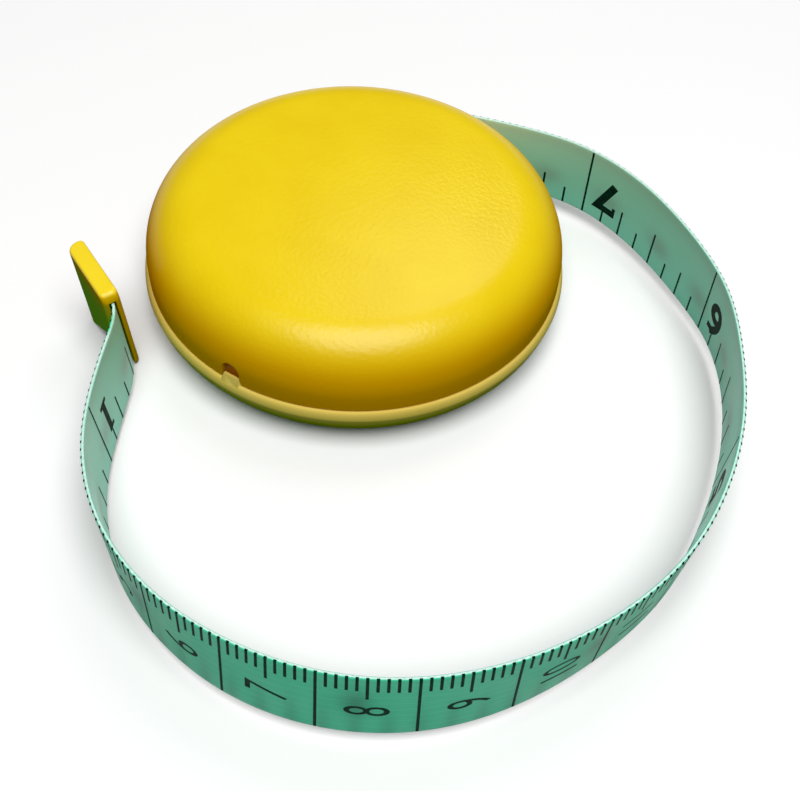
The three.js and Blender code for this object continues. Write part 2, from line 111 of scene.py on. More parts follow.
# Driving sizes of the end tab, the cord notch and the guide post
TAB_LENGTH = 10.3 * MM
TAB_THICKNESS = 2.2 * MM
TAB_WALL = 1.1 * MM
TAB_DROP = 1.2 * MM
TAB_LEAN = math.radians(3.4)
TAB_FOOT = 1.1 * MM
TAB_EDGE = 0.35 * MM
TAB_NEAR_CORNER = 0.6 * MM
TAB_FAR_OUTER = 1.45 * MM
TAB_FAR_INNER = 0.55 * MM
TAB_NOSE = 1.3 * MM
TAB_END_WALL = 0.5 * MM
TAB_SLOT_GAP = 0.25 * MM
JAW_START = 1 * MM
JAW_ANGLE = math.radians(33)
NOTCH_FOOT = 3 * MM
NOTCH_WIDTH = 2.4 * MM
NOTCH_HEIGHT = 2.95 * MM
NOTCH_ANGLE = math.radians(-123.9)
PAD_HEIGHT = 0.8 * MM
PAD_WALL = 0.3 * MM
PAD_SLOPE = 0.3 * MM
NOTCH_BACK = 0.03 * MM
POST_RADIUS = 0.7 * MM
POST_ANGLE = math.radians(59)

# Steps of the round forms, and the overrun of every cut
CASE_STEPS = 192
ROUND_STEPS = 96
SMALL_STEPS = 24
ARC_STEPS = 24
CROWN_STEPS = 16
FILLET_STEPS = 4
FACE_ROWS = 22
OVERRUN = 1 * MM
SHARP_ANGLE = math.radians(32)
STRIP_SHARP_ANGLE = math.radians(50)
TURN_STEPS = 72
MERGE_DISTANCE = MM / 10000

# Heights, from the floor of the case up through the button, the reel and the spring above it
FLANGE_TOP = FLOOR_THICKNESS + SEAT_GAP * 2 + BRAKE_THICKNESS + FLANGE_THICKNESS
TAPE_LOW = FLANGE_TOP + TAPE_GAP
TAPE_TOP = TAPE_LOW + TAPE_WIDTH
COVER_BOTTOM = TAPE_TOP + TAPE_GAP
COVER_TOP = COVER_BOTTOM + FLANGE_THICKNESS
CEILING_HEIGHT = COVER_TOP + COIL_ROOM
CASE_HEIGHT = CEILING_HEIGHT + SIDE_WALL
PLATE_TOP = FLOOR_THICKNESS + RUNNING_GAP
BUTTON_FLANGE_TOP = PLATE_TOP + BUTTON_FLANGE
BUTTON_TOP = BUTTON_FLANGE_TOP + BUTTON_RISE
DRUM_FLOOR_TOP = BUTTON_TOP + SEAT_GAP * 2 + WASHER_THICKNESS + DRUM_FLOOR
SPRING_BOTTOM = DRUM_FLOOR_TOP + SPRING_GAP
SPRING_TOP = COVER_BOTTOM - SKIRT_DEPTH - SPRING_GAP
BOSS_BOTTOM = CEILING_HEIGHT - BOSS_LENGTH
COIL_WASHER_TOP = COVER_TOP + SEAT_GAP + COIL_WASHER_THICKNESS
FOOT_HEIGHT = PARTING_HEIGHT + PARTING_GAP
PAD_TOP = PARTING_HEIGHT + PAD_HEIGHT

# Radii, from the wound tape outward to the rim of the case
PACK_INNER_RADIUS = DRUM_RADIUS + RUNNING_GAP
PACK_RADIUS = math.sqrt(PACK_INNER_RADIUS ** 2 + TAPE_ON_REEL * TURN_PITCH / math.pi)
FLANGE_RADIUS = PACK_RADIUS + FLANGE_MARGIN
INNER_RADIUS = FLANGE_RADIUS + REEL_ROOM
WALL_RADIUS = INNER_RADIUS + SIDE_WALL
RIM_RADIUS = WALL_RADIUS + LEDGE_WIDTH
TONGUE_RADIUS = INNER_RADIUS + (SIDE_WALL - FIT_GAP) / 2
LOWER_CORNER = PARTING_HEIGHT - RIM_BAND
BASE_RADIUS = RIM_RADIUS - LOWER_CORNER
ROLL_START = PARTING_HEIGHT - ROLL_HEIGHT
OPENING_RADIUS = BUTTON_RADIUS + RUNNING_GAP
BEARING_RADIUS = ARBOR_RADIUS + RUNNING_GAP
BUTTON_FLANGE_RADIUS = BUTTON_RADIUS + BUTTON_FLANGE_WIDTH
DRUM_INNER_RADIUS = DRUM_RADIUS - DRUM_WALL
FLOOR_RADIUS = INNER_RADIUS - LOWER_INNER_CORNER

# The dome: a shoulder arc that runs into a flat crown arc of much larger radius
SHOULDER_CENTRE = WALL_RADIUS - SHOULDER_RADIUS
CROWN_CENTRE = CASE_HEIGHT - CROWN_RADIUS
CROWN_REACH = CROWN_RADIUS - SHOULDER_RADIUS
SHOULDER_HEIGHT = CROWN_CENTRE + math.sqrt(CROWN_REACH ** 2 - SHOULDER_CENTRE ** 2)
CROWN_ANGLE = math.asin(SHOULDER_CENTRE / CROWN_REACH)

# The tape's route: plan place and height of its lower edge in millimetres, and the outward lean in degrees
LOW = TAPE_LOW / MM
TAB_LOW = TAB_DROP / MM
TAB_TILT = math.degrees(TAB_LEAN)
TAPE_ROUTE = [
    (-32.49, -6.52, TAB_LOW, TAB_TILT), (-30.08, -10.43, TAB_LOW, TAB_TILT),
    (-27.67, -14.35, TAB_LOW, TAB_TILT), (-27.5, -20.12, 0.91, 5.1), (-28.02, -24.57, 0.8, 5.5),
    (-28.33, -33.8, 0.93, 4.3), (-25.86, -43.63, 0.97, 2), (-20.24, -52.13, 1.14, -1.2),
    (-12.27, -58.52, 1.45, -5), (-2.72, -62.02, 1.68, -5.4), (7.31, -62.25, 1.66, -3.9),
    (16.88, -59.36, 1.49, -0.1), (25.41, -54.41, 1.45, 3.6), (32.89, -47.89, 1.57, 4.7),
    (38.51, -39.81, 1.83, 4.1), (42.61, -30.9, 2.07, 0.8), (44.93, -21.29, 2.24, -3),
    (44.8, -11.6, 2.03, -1.4), (41.68, -2.36, 1.93, 1.5), (37.06, 6.24, 2.05, 1.6),
    (30.2, 13.4, LOW, 0), (21.2, 17.6, LOW, 0), (15.8, 19.3, LOW, 0), (10.0, 20.6, LOW, 0),
    (4.0, 21.2, LOW, 0), (-1.5, 21.1, LOW, 0),
]
TAB_NEAR_INDEX = 2
MOUTH_FIRST_INDEX = 20
MOUTH_LAST_INDEX = 23

# The printed scales. Both start a little before the end of the strip, inside the tab.
METRIC_ZERO = -2.22 * MM
INCH_ZERO = -1.33 * MM
CENTIMETRE = 10 * MM
INCH = 25.4 * MM
EIGHTH = INCH / 8
PRINT_LIFT = 0.012 * MM
PRINT_MARGIN = 0.3 * MM
LINE_WIDTH = 0.32 * MM
INCH_LINE_WIDTH = 0.3 * MM
NUMERAL_STEP = 0.5 * MM
METRIC_NUMERAL = 4.5 * MM
METRIC_NUMERAL_MIDDLE = -0.075 * TAPE_WIDTH
METRIC_WEIGHT = -0.002
METRIC_SHAPE = 0.62
INCH_NUMERAL = 5.2 * MM
INCH_ONE = 4.2 * MM
INCH_NUMERAL_BACK = 3.15 * MM
INCH_NUMERAL_MIDDLE = -0.06 * TAPE_WIDTH
INCH_WEIGHT = 0.03
INCH_SHAPE = -1.1

# Lengths of the scale lines, as shares of the printed width
MM_LINE = 0.215
HALF_CM_LINE = 0.355
EIGHTH_LINE = 0.26
QUARTER_LINE = 0.39
HALF_INCH_LINE = 0.5

# Bars that end the strokes of some inch numerals: x, y, width and height, as shares of the numeral's height
SERIFS = {
    "1": [(0, -0.5, 0.5, 0.13), (-0.06, 0.5, 0.38, 0.13)],
    "6": [(0.22, 0.34, 0.2, 0.16)],
    "7": [(-0.33, 0.34, 0.1, 0.28)],
}

# Print that shows through the strip. Places and reaches are shares of its width, and spreads are in blurs.
GHOST_BLUR = 0.55 * MM
INCH_GHOST_PLACE = 0.56
INCH_GHOST_LONG = 2.2
INCH_GHOST_WIDE = 3
INCH_GHOST_DEPTH = 0.6
LINE_GHOST_REACH = 0.3
LINE_GHOST_DEPTH = 0.32
METRIC_GHOST_PLACE = 0.38
METRIC_GHOST_LONG = 3
METRIC_GHOST_WIDE = 2
METRIC_GHOST_DEPTH = 0.5
BAND_GHOST_REACH = 0.1
BAND_GHOST_DEPTH = 0.3

# The woven core's thread lines, in millimetres, and the pale of the strip's inner face: a painted sheen by
# the mouth and wear by the tab
THREAD_PITCH = 1.15
MOUTH_SHEEN = 85 * MM
TAB_WEAR = 60 * MM
MOUTH_SHEEN_DEPTH = 0.8
TAB_WEAR_DEPTH = 0.55
LOWER_SHEEN_AND_WEAR = 0.45

# Where the dark green of painted light from the strip starts on the tab's outer side, and how fast it grows
PAINTED_LIGHT_START = 0.45
PAINTED_LIGHT_GROWTH = 2

# The camera, in pixels of the photograph's frame
IMAGE_WIDTH = 800
IMAGE_HEIGHT = 791
FOCAL_PIXELS = 1166.96
AXIS_X = 431.6
AXIS_Y = 400.7
CAMERA_PLACE = Vector((-1.344, -107.577, 113.271)) * MM
CAMERA_PITCH = math.radians(51.990)
CAMERA_YAW = math.radians(6.836)
CAMERA_ROLL = math.radians(5.474)
SENSOR_WIDTH = 36


# Camera

def add_camera():
    data = bpy.data.cameras.new("camera")
    data.sensor_width = SENSOR_WIDTH
    data.lens = FOCAL_PIXELS * SENSOR_WIDTH / IMAGE_WIDTH
    data.shift_x = (IMAGE_WIDTH / 2 - AXIS_X) / IMAGE_WIDTH
    data.shift_y = (AXIS_Y - IMAGE_HEIGHT / 2) / IMAGE_WIDTH
    data.clip_start = 10 * MM
    camera = bpy.data.objects.new("camera", data)
    level = math.cos(CAMERA_PITCH)
    forward = Vector((math.sin(CAMERA_YAW) * level, math.cos(CAMERA_YAW) * level, -math.sin(CAMERA_PITCH)))
    roll = Quaternion((0, 0, 1), CAMERA_ROLL)
    camera.rotation_mode = "QUATERNION"
    camera.rotation_quaternion = forward.to_track_quat("-Z", "Y") @ roll
    camera.location = CAMERA_PLACE
    bpy.context.scene.collection.objects.link(camera)
    bpy.context.scene.camera = camera


# Meshes

def add_object(name, data):
    obj = bpy.data.objects.new(name, data)
    bpy.context.scene.collection.objects.link(obj)
    return obj


def add_mesh(name, points, faces, material=None):
    mesh = bpy.data.meshes.new(name)
    mesh.from_pydata([tuple(point) for point in points], [], faces)
    if material:
        mesh.materials.append(material)
    return add_object(name, mesh)


def smooth(obj, angle=SHARP_ANGLE):
    obj.data.shade_smooth()
    obj.data.set_sharp_from_angle(angle=angle)
    return obj


def face_outward(obj):
    """Merges doubled points and turns every face of a closed mesh outward."""
    work = bmesh.new()
    work.from_mesh(obj.data)
    bmesh.ops.remove_doubles(work, verts=work.verts, dist=MERGE_DISTANCE)
    bmesh.ops.recalc_face_normals(work, faces=work.faces)
    work.to_mesh(obj.data)
    work.free()
    return obj


def plain(obj):
    """Turns what an object's modifiers make into its own mesh, and removes them."""
    graph = bpy.context.evaluated_depsgraph_get()
    mesh = bpy.data.meshes.new_from_object(obj.evaluated_get(graph), depsgraph=graph)
    obj.modifiers.clear()
    obj.data = mesh
    mesh.name = obj.name
    return obj


def combine(obj, tools, operation="DIFFERENCE"):
    """Cuts the tools from a mesh or joins them to it, and removes them."""
    for tool in tools:
        modifier = obj.modifiers.new("combine", "BOOLEAN")
        modifier.operation = operation
        modifier.solver = "EXACT"
        modifier.material_mode = "TRANSFER"
        modifier.object = tool
    plain(obj)
    for tool in tools:
        bpy.data.objects.remove(tool)
    return obj


def arc(centre, height, size, start, end, steps=ARC_STEPS):
    """Points of an arc in a profile, from one angle to another, each with no rounding."""
    angles = np.linspace(start, end, steps + 1)
    return [(centre + size * math.cos(a), height + size * math.sin(a), 0) for a in angles]


def rounded(corners, steps=FILLET_STEPS):
    """Points of a profile from its corners, each of which has a radius to round it by."""
    points = []
    for i, (x, y, radius) in enumerate(corners):
        here = Vector((x, y))
        if not radius:
            points.append(here)
            continue
        before = (Vector(corners[i - 1][:2]) - here).normalized()
        after = (Vector(corners[(i + 1) % len(corners)][:2]) - here).normalized()
        half = before.angle(after) / 2
        centre = here + (before + after).normalized() * (radius / math.sin(half))
        start = here + before * (radius / math.tan(half)) - centre
        end = here + after * (radius / math.tan(half)) - centre
        points += [centre + start.lerp(end, k / steps).normalized() * radius for k in range(steps + 1)]
    return points


def revolve(name, corners, material, steps=ROUND_STEPS):
    """Turns a profile of (radius, height, rounding) corners about +Z; points on the axis become poles."""
    points, rows = [], []
    for radius, height in rounded(corners):
        if radius < MM / 1000:
            rows.append([len(points)] * steps)
            points.append((0, 0, height))
            continue
        rows.append(range(len(points), len(points) + steps))
        for k in range(steps):
            angle = 2 * math.pi * k / steps
            points.append((radius * math.cos(angle), radius * math.sin(angle), height))
    faces = []
    for row, below in zip(rows, rows[1:] + rows[:1]):
        for k in range(steps):
            turn = (k + 1) % steps
            corner_set = dict.fromkeys((row[k], below[k], below[turn], row[turn]))
            if len(corner_set) > 2:
                faces.append(tuple(corner_set))
    return smooth(face_outward(add_mesh(name, points, faces, material)))


def loft(name, outlines, material=None):
    """A closed form through outlines of equally many points, with a flat cap at each end."""
    count = len(outlines[0])
    points = [point for outline in outlines for point in outline]
    faces = [tuple(range(count)), tuple(range(len(points) - count, len(points)))]
    for row in range(len(outlines) - 1):
        for k in range(count):
            a, b = row * count + k, row * count + (k + 1) % count
            faces.append((a, b, b + count, a + count))
    return face_outward(add_mesh(name, points, faces, material))


# The tape's path

def natural_spline(places, values, wanted):
    """Values of the natural cubic spline through a table, at the wanted places."""
    gaps = np.diff(places)
    slopes = np.diff(values, axis=0) / gaps[:, None]
    count = len(places)
    matrix = np.eye(count)
    right = np.zeros_like(values)
    for i in range(1, count - 1):
        matrix[i, i - 1:i + 2] = gaps[i - 1], 2 * (gaps[i - 1] + gaps[i]), gaps[i]
        right[i] = 6 * (slopes[i] - slopes[i - 1])
    bend = np.linalg.solve(matrix, right)
    i = np.clip(np.searchsorted(places, wanted) - 1, 0, count - 2)
    gap = gaps[i][:, None]
    after = (wanted - places[i])[:, None]
    before = gap - after
    cubic = (bend[i] * before ** 3 + bend[i + 1] * after ** 3) / (6 * gap)
    straight = (values[i] / gap - bend[i] * gap / 6) * before
    return cubic + straight + (values[i + 1] / gap - bend[i + 1] * gap / 6) * after


def unit(vectors):
    return vectors / np.linalg.norm(vectors, axis=1)[:, None]


def tape_stations(first=0, last=len(TAPE_ROUTE) - 1, step=STATION_STEP):
    """Places along the strip, its middle line there, and the unit vectors across and out of its face."""
    route = np.array(TAPE_ROUTE, float)
    lower = route[:, :3] * MM
    travel = np.gradient(lower[:, :2], axis=0)
    outward = unit(np.stack([travel[:, 1], -travel[:, 0], 0 * travel[:, 0]], 1))
    lean = np.radians(route[:, 3])[:, None]
    rise = outward * np.sin(lean) + np.array([0, 0, 1]) * np.cos(lean)
    chord = np.concatenate([[0], np.cumsum(np.linalg.norm(np.diff(lower, axis=0), axis=1))])
    fine = np.linspace(chord[first], chord[last], 4001)
    across = unit(natural_spline(chord, rise, fine))
    middle = natural_spline(chord, lower, fine) + across * TAPE_WIDTH / 2
    along = np.concatenate([[0], np.cumsum(np.linalg.norm(np.diff(middle, axis=0), axis=1))])
    places = np.linspace(0, along[-1], round(along[-1] / step) + 1)
    middle = np.stack([np.interp(places, along, middle[:, k]) for k in range(3)], 1)
    across = unit(np.stack([np.interp(places, along, across[:, k]) for k in range(3)], 1))
    outward = unit(np.cross(np.gradient(middle, axis=0), across))
    return places, middle, across, outward


def band(name, stations, section, material=None):
    """A closed band: a section of (across, outward) points carried along the stations."""
    _, middle, across, outward = stations
    outlines = [[m + a * x + o * y for x, y in section] for m, a, o in zip(middle, across, outward)]
    return loft(name, outlines, material)


def mouth_tool(name):
    half_width = TAPE_WIDTH / 2 + MOUTH_GAP
    half_depth = TAPE_THICKNESS / 2 + MOUTH_GAP
    section = rounded([
        (-half_width, -half_depth, EDGE_FILLET), (half_width, -half_depth, EDGE_FILLET),
        (half_width, half_depth, EDGE_FILLET), (-half_width, half_depth, EDGE_FILLET),
    ])
    return band(name, tape_stations(MOUTH_FIRST_INDEX, MOUTH_LAST_INDEX), section)


# Node trees

def node(tree, kind, inputs=None, **settings):
    """Adds a node, sets its options, and links or sets each of the inputs by name or place."""
    made = tree.nodes.new(kind)
    for name, value in settings.items():
        setattr(made, name, value)
    for key, value in (inputs or {}).items():
        if isinstance(value, bpy.types.NodeSocket):
            tree.links.new(value, made.inputs[key])
        else:
            made.inputs[key].default_value = value
    return made


def new_group(name, kind, inputs, outputs):
    """A node group with named inputs, as (name, socket type, value), and named outputs."""
    tree = bpy.data.node_groups.new(name, kind)
    for label, socket, value in inputs:
        made = tree.interface.new_socket(label, in_out="INPUT", socket_type=socket)
        if value is not None:
            made.default_value = value
    for label, socket in outputs:
        tree.interface.new_socket(label, in_out="OUTPUT", socket_type=socket)
    start = tree.nodes.new("NodeGroupInput")
    end = tree.nodes.new("NodeGroupOutput")
    return tree, start.outputs, end.inputs


def fine_grain_group():
    """Moulded grain: small worn cells over a slower unevenness, as a height."""
    tree, given, result = new_group("fine_grain", "ShaderNodeTree", [
        ("Vector", "NodeSocketVector", None),
        ("Cell", "NodeSocketFloat", 0.3),
        ("Worm", "NodeSocketFloat", 0.5),
    ], [("Height", "NodeSocketFloat")])
    scale = node(tree, "ShaderNodeMath", {0: 1.0, 1: given["Cell"]}, operation="DIVIDE").outputs[0]
    noise = node(tree, "ShaderNodeTexNoise", {"Vector": given["Vector"], "Scale": scale, "Detail": 2.0})
    bent = node(tree, "ShaderNodeVectorMath", {0: noise.outputs["Color"], 1: given["Cell"]},
                operation="MULTIPLY")
    moved = node(tree, "ShaderNodeVectorMath", {0: given["Vector"], 1: bent.outputs[0]}, operation="ADD")
    cells = node(tree, "ShaderNodeTexVoronoi", {"Vector": moved.outputs[0], "Scale": scale},
                 feature="SMOOTH_F1")
    mixed = node(tree, "ShaderNodeMix", {0: given["Worm"], 2: cells.outputs["Distance"], 3: noise.outputs[0]})
    tree.links.new(mixed.outputs[0], result["Height"])
    return tree


def handling_group():
    """Handling marks: a slow cloudy mask of touched places and a mask of fine dust specks."""
    tree, given, result = new_group("handling", "ShaderNodeTree", [
        ("Vector", "NodeSocketVector", None),
        ("Patch", "NodeSocketFloat", 9.0),
        ("Speck", "NodeSocketFloat", 0.5),
    ], [("Cloud", "NodeSocketFloat"), ("Dust", "NodeSocketFloat")])
    broad = node(tree, "ShaderNodeMath", {0: 1.0, 1: given["Patch"]}, operation="DIVIDE").outputs[0]
    fine = node(tree, "ShaderNodeMath", {0: 1.0, 1: given["Speck"]}, operation="DIVIDE").outputs[0]
    cloud = node(tree, "ShaderNodeTexNoise", {"Vector": given["Vector"], "Scale": broad, "Detail": 4.0})
    speck = node(tree, "ShaderNodeTexNoise", {"Vector": given["Vector"], "Scale": fine, "Detail": 1.0})
    spread = node(tree, "ShaderNodeMapRange", {0: cloud.outputs[0], 1: 0.35, 2: 0.65})
    sharp = node(tree, "ShaderNodeMapRange", {0: speck.outputs[0], 1: 0.68, 2: 0.78})
    tree.links.new(spread.outputs[0], result["Cloud"])
    tree.links.new(sharp.outputs[0], result["Dust"])
    return tree


FINE_GRAIN = fine_grain_group()
HANDLING = handling_group()



def new_material(name):
    """An empty material: its tree, its principled shader, and its place in millimetres."""
    material = bpy.data.materials.new(name)
    material.use_nodes = True
    tree = material.node_tree
    shader = tree.nodes["Principled BSDF"]
    place = node(tree, "ShaderNodeTexCoord").outputs["Object"]
    scaled = node(tree, "ShaderNodeVectorMath", {0: place, "Scale": 1 / MM}, operation="SCALE")
    return material, tree, shader, scaled.outputs[0]


def colour(red, green, blue):
    """A linear colour from its 0 to 255 display values."""
    return (*((value / 255) ** 2.2 for value in (red, green, blue)), 1.0)


def group(tree, used, inputs):
    return node(tree, "ShaderNodeGroup", inputs, node_tree=used).outputs


def mix_colour(tree, factor, first, second):
    return node(tree, "ShaderNodeMix", {0: factor, 6: first, 7: second}, data_type="RGBA").outputs[2]


def bump(tree, shader, height, depth, strength=1.0):
    """Feeds a height into the shader's normal; the depth is in metres."""
    made = node(tree, "ShaderNodeBump", {"Strength": strength, "Distance": depth, "Height": height})
    tree.links.new(made.outputs["Normal"], shader.inputs["Normal"])
    tree.links.new(made.outputs["Normal"], shader.inputs["Coat Normal"])


def span(tree, factor, low, high):
    return node(tree, "ShaderNodeMapRange", {0: factor, 3: low, 4: high}).outputs[0]


def height_mask(tree, place, low, high):
    """0 below one height and 1 above another, in millimetres, with a soft change between them."""
    height = node(tree, "ShaderNodeSeparateXYZ", {0: place}).outputs[2]
    mask = node(tree, "ShaderNodeMapRange", {0: height, 1: low, 2: high}, interpolation_type="SMOOTHSTEP")
    return mask.outputs[0]


def moulded_plastic(name, base, deep, cell, depth, rough, gloss=0.2, worm=0.5, side=None, levels=(0, 1),
                    coat=(0.3, 0.3), cast=None):
    """Moulded plastic: a fine grain, a cloudy change of tone and gloss where it is handled, and dust.

    Between two levels the tone changes from the side's to the top's, the grain comes up and the gloss grows.
    The side's tone is painted shade: it darkens the lower faces, which get less light.
    The last argument is a tone of painted green light from the strip, for the places that the mesh marks with
    the attribute of that name.
    """
    material, tree, shader, place = new_material(name)
    grain = group(tree, FINE_GRAIN, {"Vector": place, "Cell": cell, "Worm": worm})["Height"]
    marks = group(tree, HANDLING, {"Vector": place})
    top = height_mask(tree, place, *levels)
    tone = mix_colour(tree, marks["Cloud"], colour(*base), colour(*deep))
    # painted shade: the faces below the levels take the darker side tone
    if side:
        tone = mix_colour(tree, top, colour(*side), tone)
    # painted green light from the strip, on the places that the mesh marks
    if cast:
        marked = node(tree, "ShaderNodeAttribute", attribute_name="cast").outputs["Fac"]
        tone = mix_colour(tree, marked, tone, colour(*cast))
    worn = span(tree, marks["Cloud"], rough - 0.04, rough + 0.05)
    dusty = node(tree, "ShaderNodeMath", {0: marks["Dust"], 1: 0.15, 2: worn}, operation="MULTIPLY_ADD")
    pressed = node(tree, "ShaderNodeMath", {0: grain, 1: span(tree, top, 0.25, 1)}, operation="MULTIPLY")
    tree.links.new(tone, shader.inputs["Base Color"])
    tree.links.new(dusty.outputs[0], shader.inputs["Roughness"])
    tree.links.new(span(tree, top, *coat), shader.inputs["Coat Weight"])
    shader.inputs["Coat Roughness"].default_value = rough
    shader.inputs["Specular IOR Level"].default_value = gloss
    bump(tree, shader, pressed.outputs[0], depth)
    return material


def drawn_metal(name, base, streak, rough):
    """Rolled or drawn metal: streaks along its height and a slow change of tone."""
    material, tree, shader, place = new_material(name)
    drawn = node(tree, "ShaderNodeVectorMath", {0: place, 1: (0.4, 0.4, streak)}, operation="MULTIPLY")
    lines = node(tree, "ShaderNodeTexNoise", {"Vector": drawn.outputs[0], "Scale": 1.0, "Detail": 3.0})
    marks = group(tree, HANDLING, {"Vector": place, "Patch": 4.0})
    dark = tuple(value * 0.72 for value in base)
    tone = mix_colour(tree, lines.outputs[0], colour(*dark), colour(*base))
    tree.links.new(tone, shader.inputs["Base Color"])
    tree.links.new(span(tree, marks["Cloud"], rough - 0.06, rough + 0.1), shader.inputs["Roughness"])
    shader.inputs["Metallic"].default_value = 1.0
    bump(tree, shader, lines.outputs[0], 0.01 * MM)
    return material


def coated_tape(name, base, deep, inner):
    """The coated strip: a woven core that shows as fine streaks along it, and a soft sheen. The inner face's
    paler tone is painted light, for light that comes through the strip, and its pale by the mouth is a
    painted sheen.
    """
    material, tree, shader, place = new_material(name)
    flat = node(tree, "ShaderNodeUVMap", uv_map="strip").outputs[0]
    along = node(tree, "ShaderNodeVectorMath", {0: flat, 1: (0.25, 9.0, 1.0)}, operation="MULTIPLY")
    streaks = node(tree, "ShaderNodeTexNoise", {"Vector": along.outputs[0], "Scale": 1.0, "Detail": 4.0})
    across = node(tree, "ShaderNodeSeparateXYZ", {0: flat}).outputs[1]
    phase = node(tree, "ShaderNodeMath", {0: across, 1: 2 * math.pi / THREAD_PITCH}, operation="MULTIPLY")
    wave = node(tree, "ShaderNodeMath", {0: phase.outputs[0]}, operation="SINE").outputs[0]
    thread = node(tree, "ShaderNodeMapRange", {0: wave, 1: 0.6, 2: 1.0, 4: 0.12}).outputs[0]
    marks = group(tree, HANDLING, {"Vector": place, "Patch": 6.0})
    ghost = node(tree, "ShaderNodeAttribute", attribute_name="ghost").outputs["Fac"]
    tone = mix_colour(tree, streaks.outputs[0], colour(*deep), colour(*base))
    # painted light: the inner face is paler, for the light that comes through the strip from outside
    within = node(tree, "ShaderNodeAttribute", attribute_name="within").outputs["Fac"]
    tone = mix_colour(tree, within, tone, colour(*inner))
    # painted sheen by the mouth and pale wear by the tab, on the inner face
    rubbed = node(tree, "ShaderNodeAttribute", attribute_name="rubbed").outputs["Fac"]
    lined = mix_colour(tree, thread, tone, colour(*(min(value * 1.25, 255) for value in base)))
    shadowed = mix_colour(tree, ghost, lined, colour(*(value * 0.5 for value in deep)))
    pale = mix_colour(tree, rubbed, shadowed, colour(236, 238, 218))
    tree.links.new(pale, shader.inputs["Base Color"])
    tree.links.new(span(tree, marks["Cloud"], 0.36, 0.46), shader.inputs["Roughness"])
    shader.inputs["Specular IOR Level"].default_value = 0.15
    tree.links.new(span(tree, within, 0.0, 0.6), shader.inputs["Coat Weight"])
    shader.inputs["Coat Roughness"].default_value = 0.4
    shader.inputs["Coat IOR"].default_value = 1.6
    bump(tree, shader, streaks.outputs[0], 0.02 * MM)
    return material


def cut_edge(name, base, deep):
    """The strip's cut edge, where its pale core of fibres shows."""
    material, tree, shader, _ = new_material(name)
    flat = node(tree, "ShaderNodeUVMap", uv_map="strip").outputs[0]
    along = node(tree, "ShaderNodeVectorMath", {0: flat, 1: (2.5, 30.0, 1.0)}, operation="MULTIPLY")
    fibres = node(tree, "ShaderNodeTexNoise", {"Vector": along.outputs[0], "Scale": 1.0, "Detail": 3.0})
    spread = node(tree, "ShaderNodeMapRange", {0: fibres.outputs[0], 1: 0.35, 2: 0.7})
    tone = mix_colour(tree, spread.outputs[0], colour(*base), colour(*deep))
    tree.links.new(tone, shader.inputs["Base Color"])
    shader.inputs["Roughness"].default_value = 0.6
    bump(tree, shader, fibres.outputs[0], 0.03 * MM)
    return material


def printing_ink(name, base, worn):
    """Dark ink, a little thinner in places."""
    material, tree, shader, place = new_material(name)
    noise = node(tree, "ShaderNodeTexNoise", {"Vector": place, "Scale": 1.6, "Detail": 5.0})
    thin = node(tree, "ShaderNodeMapRange", {0: noise.outputs[0], 1: 0.45, 2: 0.75})
    tone = mix_colour(tree, thin.outputs[0], colour(*base), colour(*worn))
    tree.links.new(tone, shader.inputs["Base Color"])
    shader.inputs["Roughness"].default_value = 0.5
    shader.inputs["Specular IOR Level"].default_value = 0.03
    return material


def brake_rubber(name):
    material, tree, shader, place = new_material(name)
    grain = group(tree, FINE_GRAIN, {"Vector": place, "Cell": 0.12, "Worm": 0.7})["Height"]
    marks = group(tree, HANDLING, {"Vector": place, "Patch": 3.0, "Speck": 0.25})
    tone = mix_colour(tree, marks["Cloud"], colour(40, 41, 43), colour(52, 52, 53))
    tree.links.new(tone, shader.inputs["Base Color"])
    tree.links.new(span(tree, marks["Dust"], 0.85, 0.95), shader.inputs["Roughness"])
    bump(tree, shader, grain, 0.02 * MM)
    return material


# painted shade: below 10.5 mm the dome's walls and shoulder take a deeper, darker amber
DOME_PLASTIC = moulded_plastic("dome_plastic", (242, 210, 22), (238, 204, 14), 0.5, 0.05 * MM, 0.3, 0.0, 0.6,
                               (216, 158, 0), (10.5, 15.4), (0.0, 0.75))
# painted shade and a painted green reflection of the strip: below 3.6 mm the rim turns olive green
RIM_PLASTIC = moulded_plastic("rim_plastic", (232, 204, 100), (228, 198, 92), 0.2, 0.008 * MM, 0.34, 0.0, 0.5,
                              (166, 178, 20), (3.6, 6.2), (0.0, 0.1))
BUTTON_PLASTIC = moulded_plastic("button_plastic", (238, 203, 26), (230, 194, 20), 0.26, 0.02 * MM, 0.4)
# painted shade: below 12.5 mm the tab's sides take a darker orange tone; the last tone is painted green light
# from the strip
TAB_PLASTIC = moulded_plastic("tab_plastic", (250, 220, 48), (246, 214, 40), 0.2, 0.006 * MM, 0.16, 0.0, 0.5,
                              (200, 162, 0), (12.5, 12.95), (0.0, 0.6), (120, 190, 44))
# painted shade: the brown of the notch's inside, with light reflected from the yellow plastic painted in
NOTCH_PAINTED_SHADE = moulded_plastic("notch_plastic", (196, 112, 4), (186, 102, 2), 0.3, 0.01 * MM, 0.4, 0.0)
REEL_PLASTIC = moulded_plastic("reel_plastic", (232, 230, 223), (224, 221, 211), 0.2, 0.01 * MM, 0.45)
# the third tone, for the inner face, is painted light
TAPE_FACE = coated_tape("tape_face", (88, 230, 182), (70, 208, 160), (96, 250, 214))
TAPE_EDGE = cut_edge("tape_edge", (226, 250, 244), (170, 222, 206))
TAPE_INK = printing_ink("tape_ink", (0, 40, 28), (6, 66, 50))
BRIGHT_STEEL = drawn_metal("bright_steel", (196, 198, 202), 6.0, 0.3)
BLUED_STEEL = drawn_metal("blued_steel", (104, 116, 134), 5.0, 0.32)
BRAKE_RUBBER = brake_rubber("brake_rubber")


# The strip

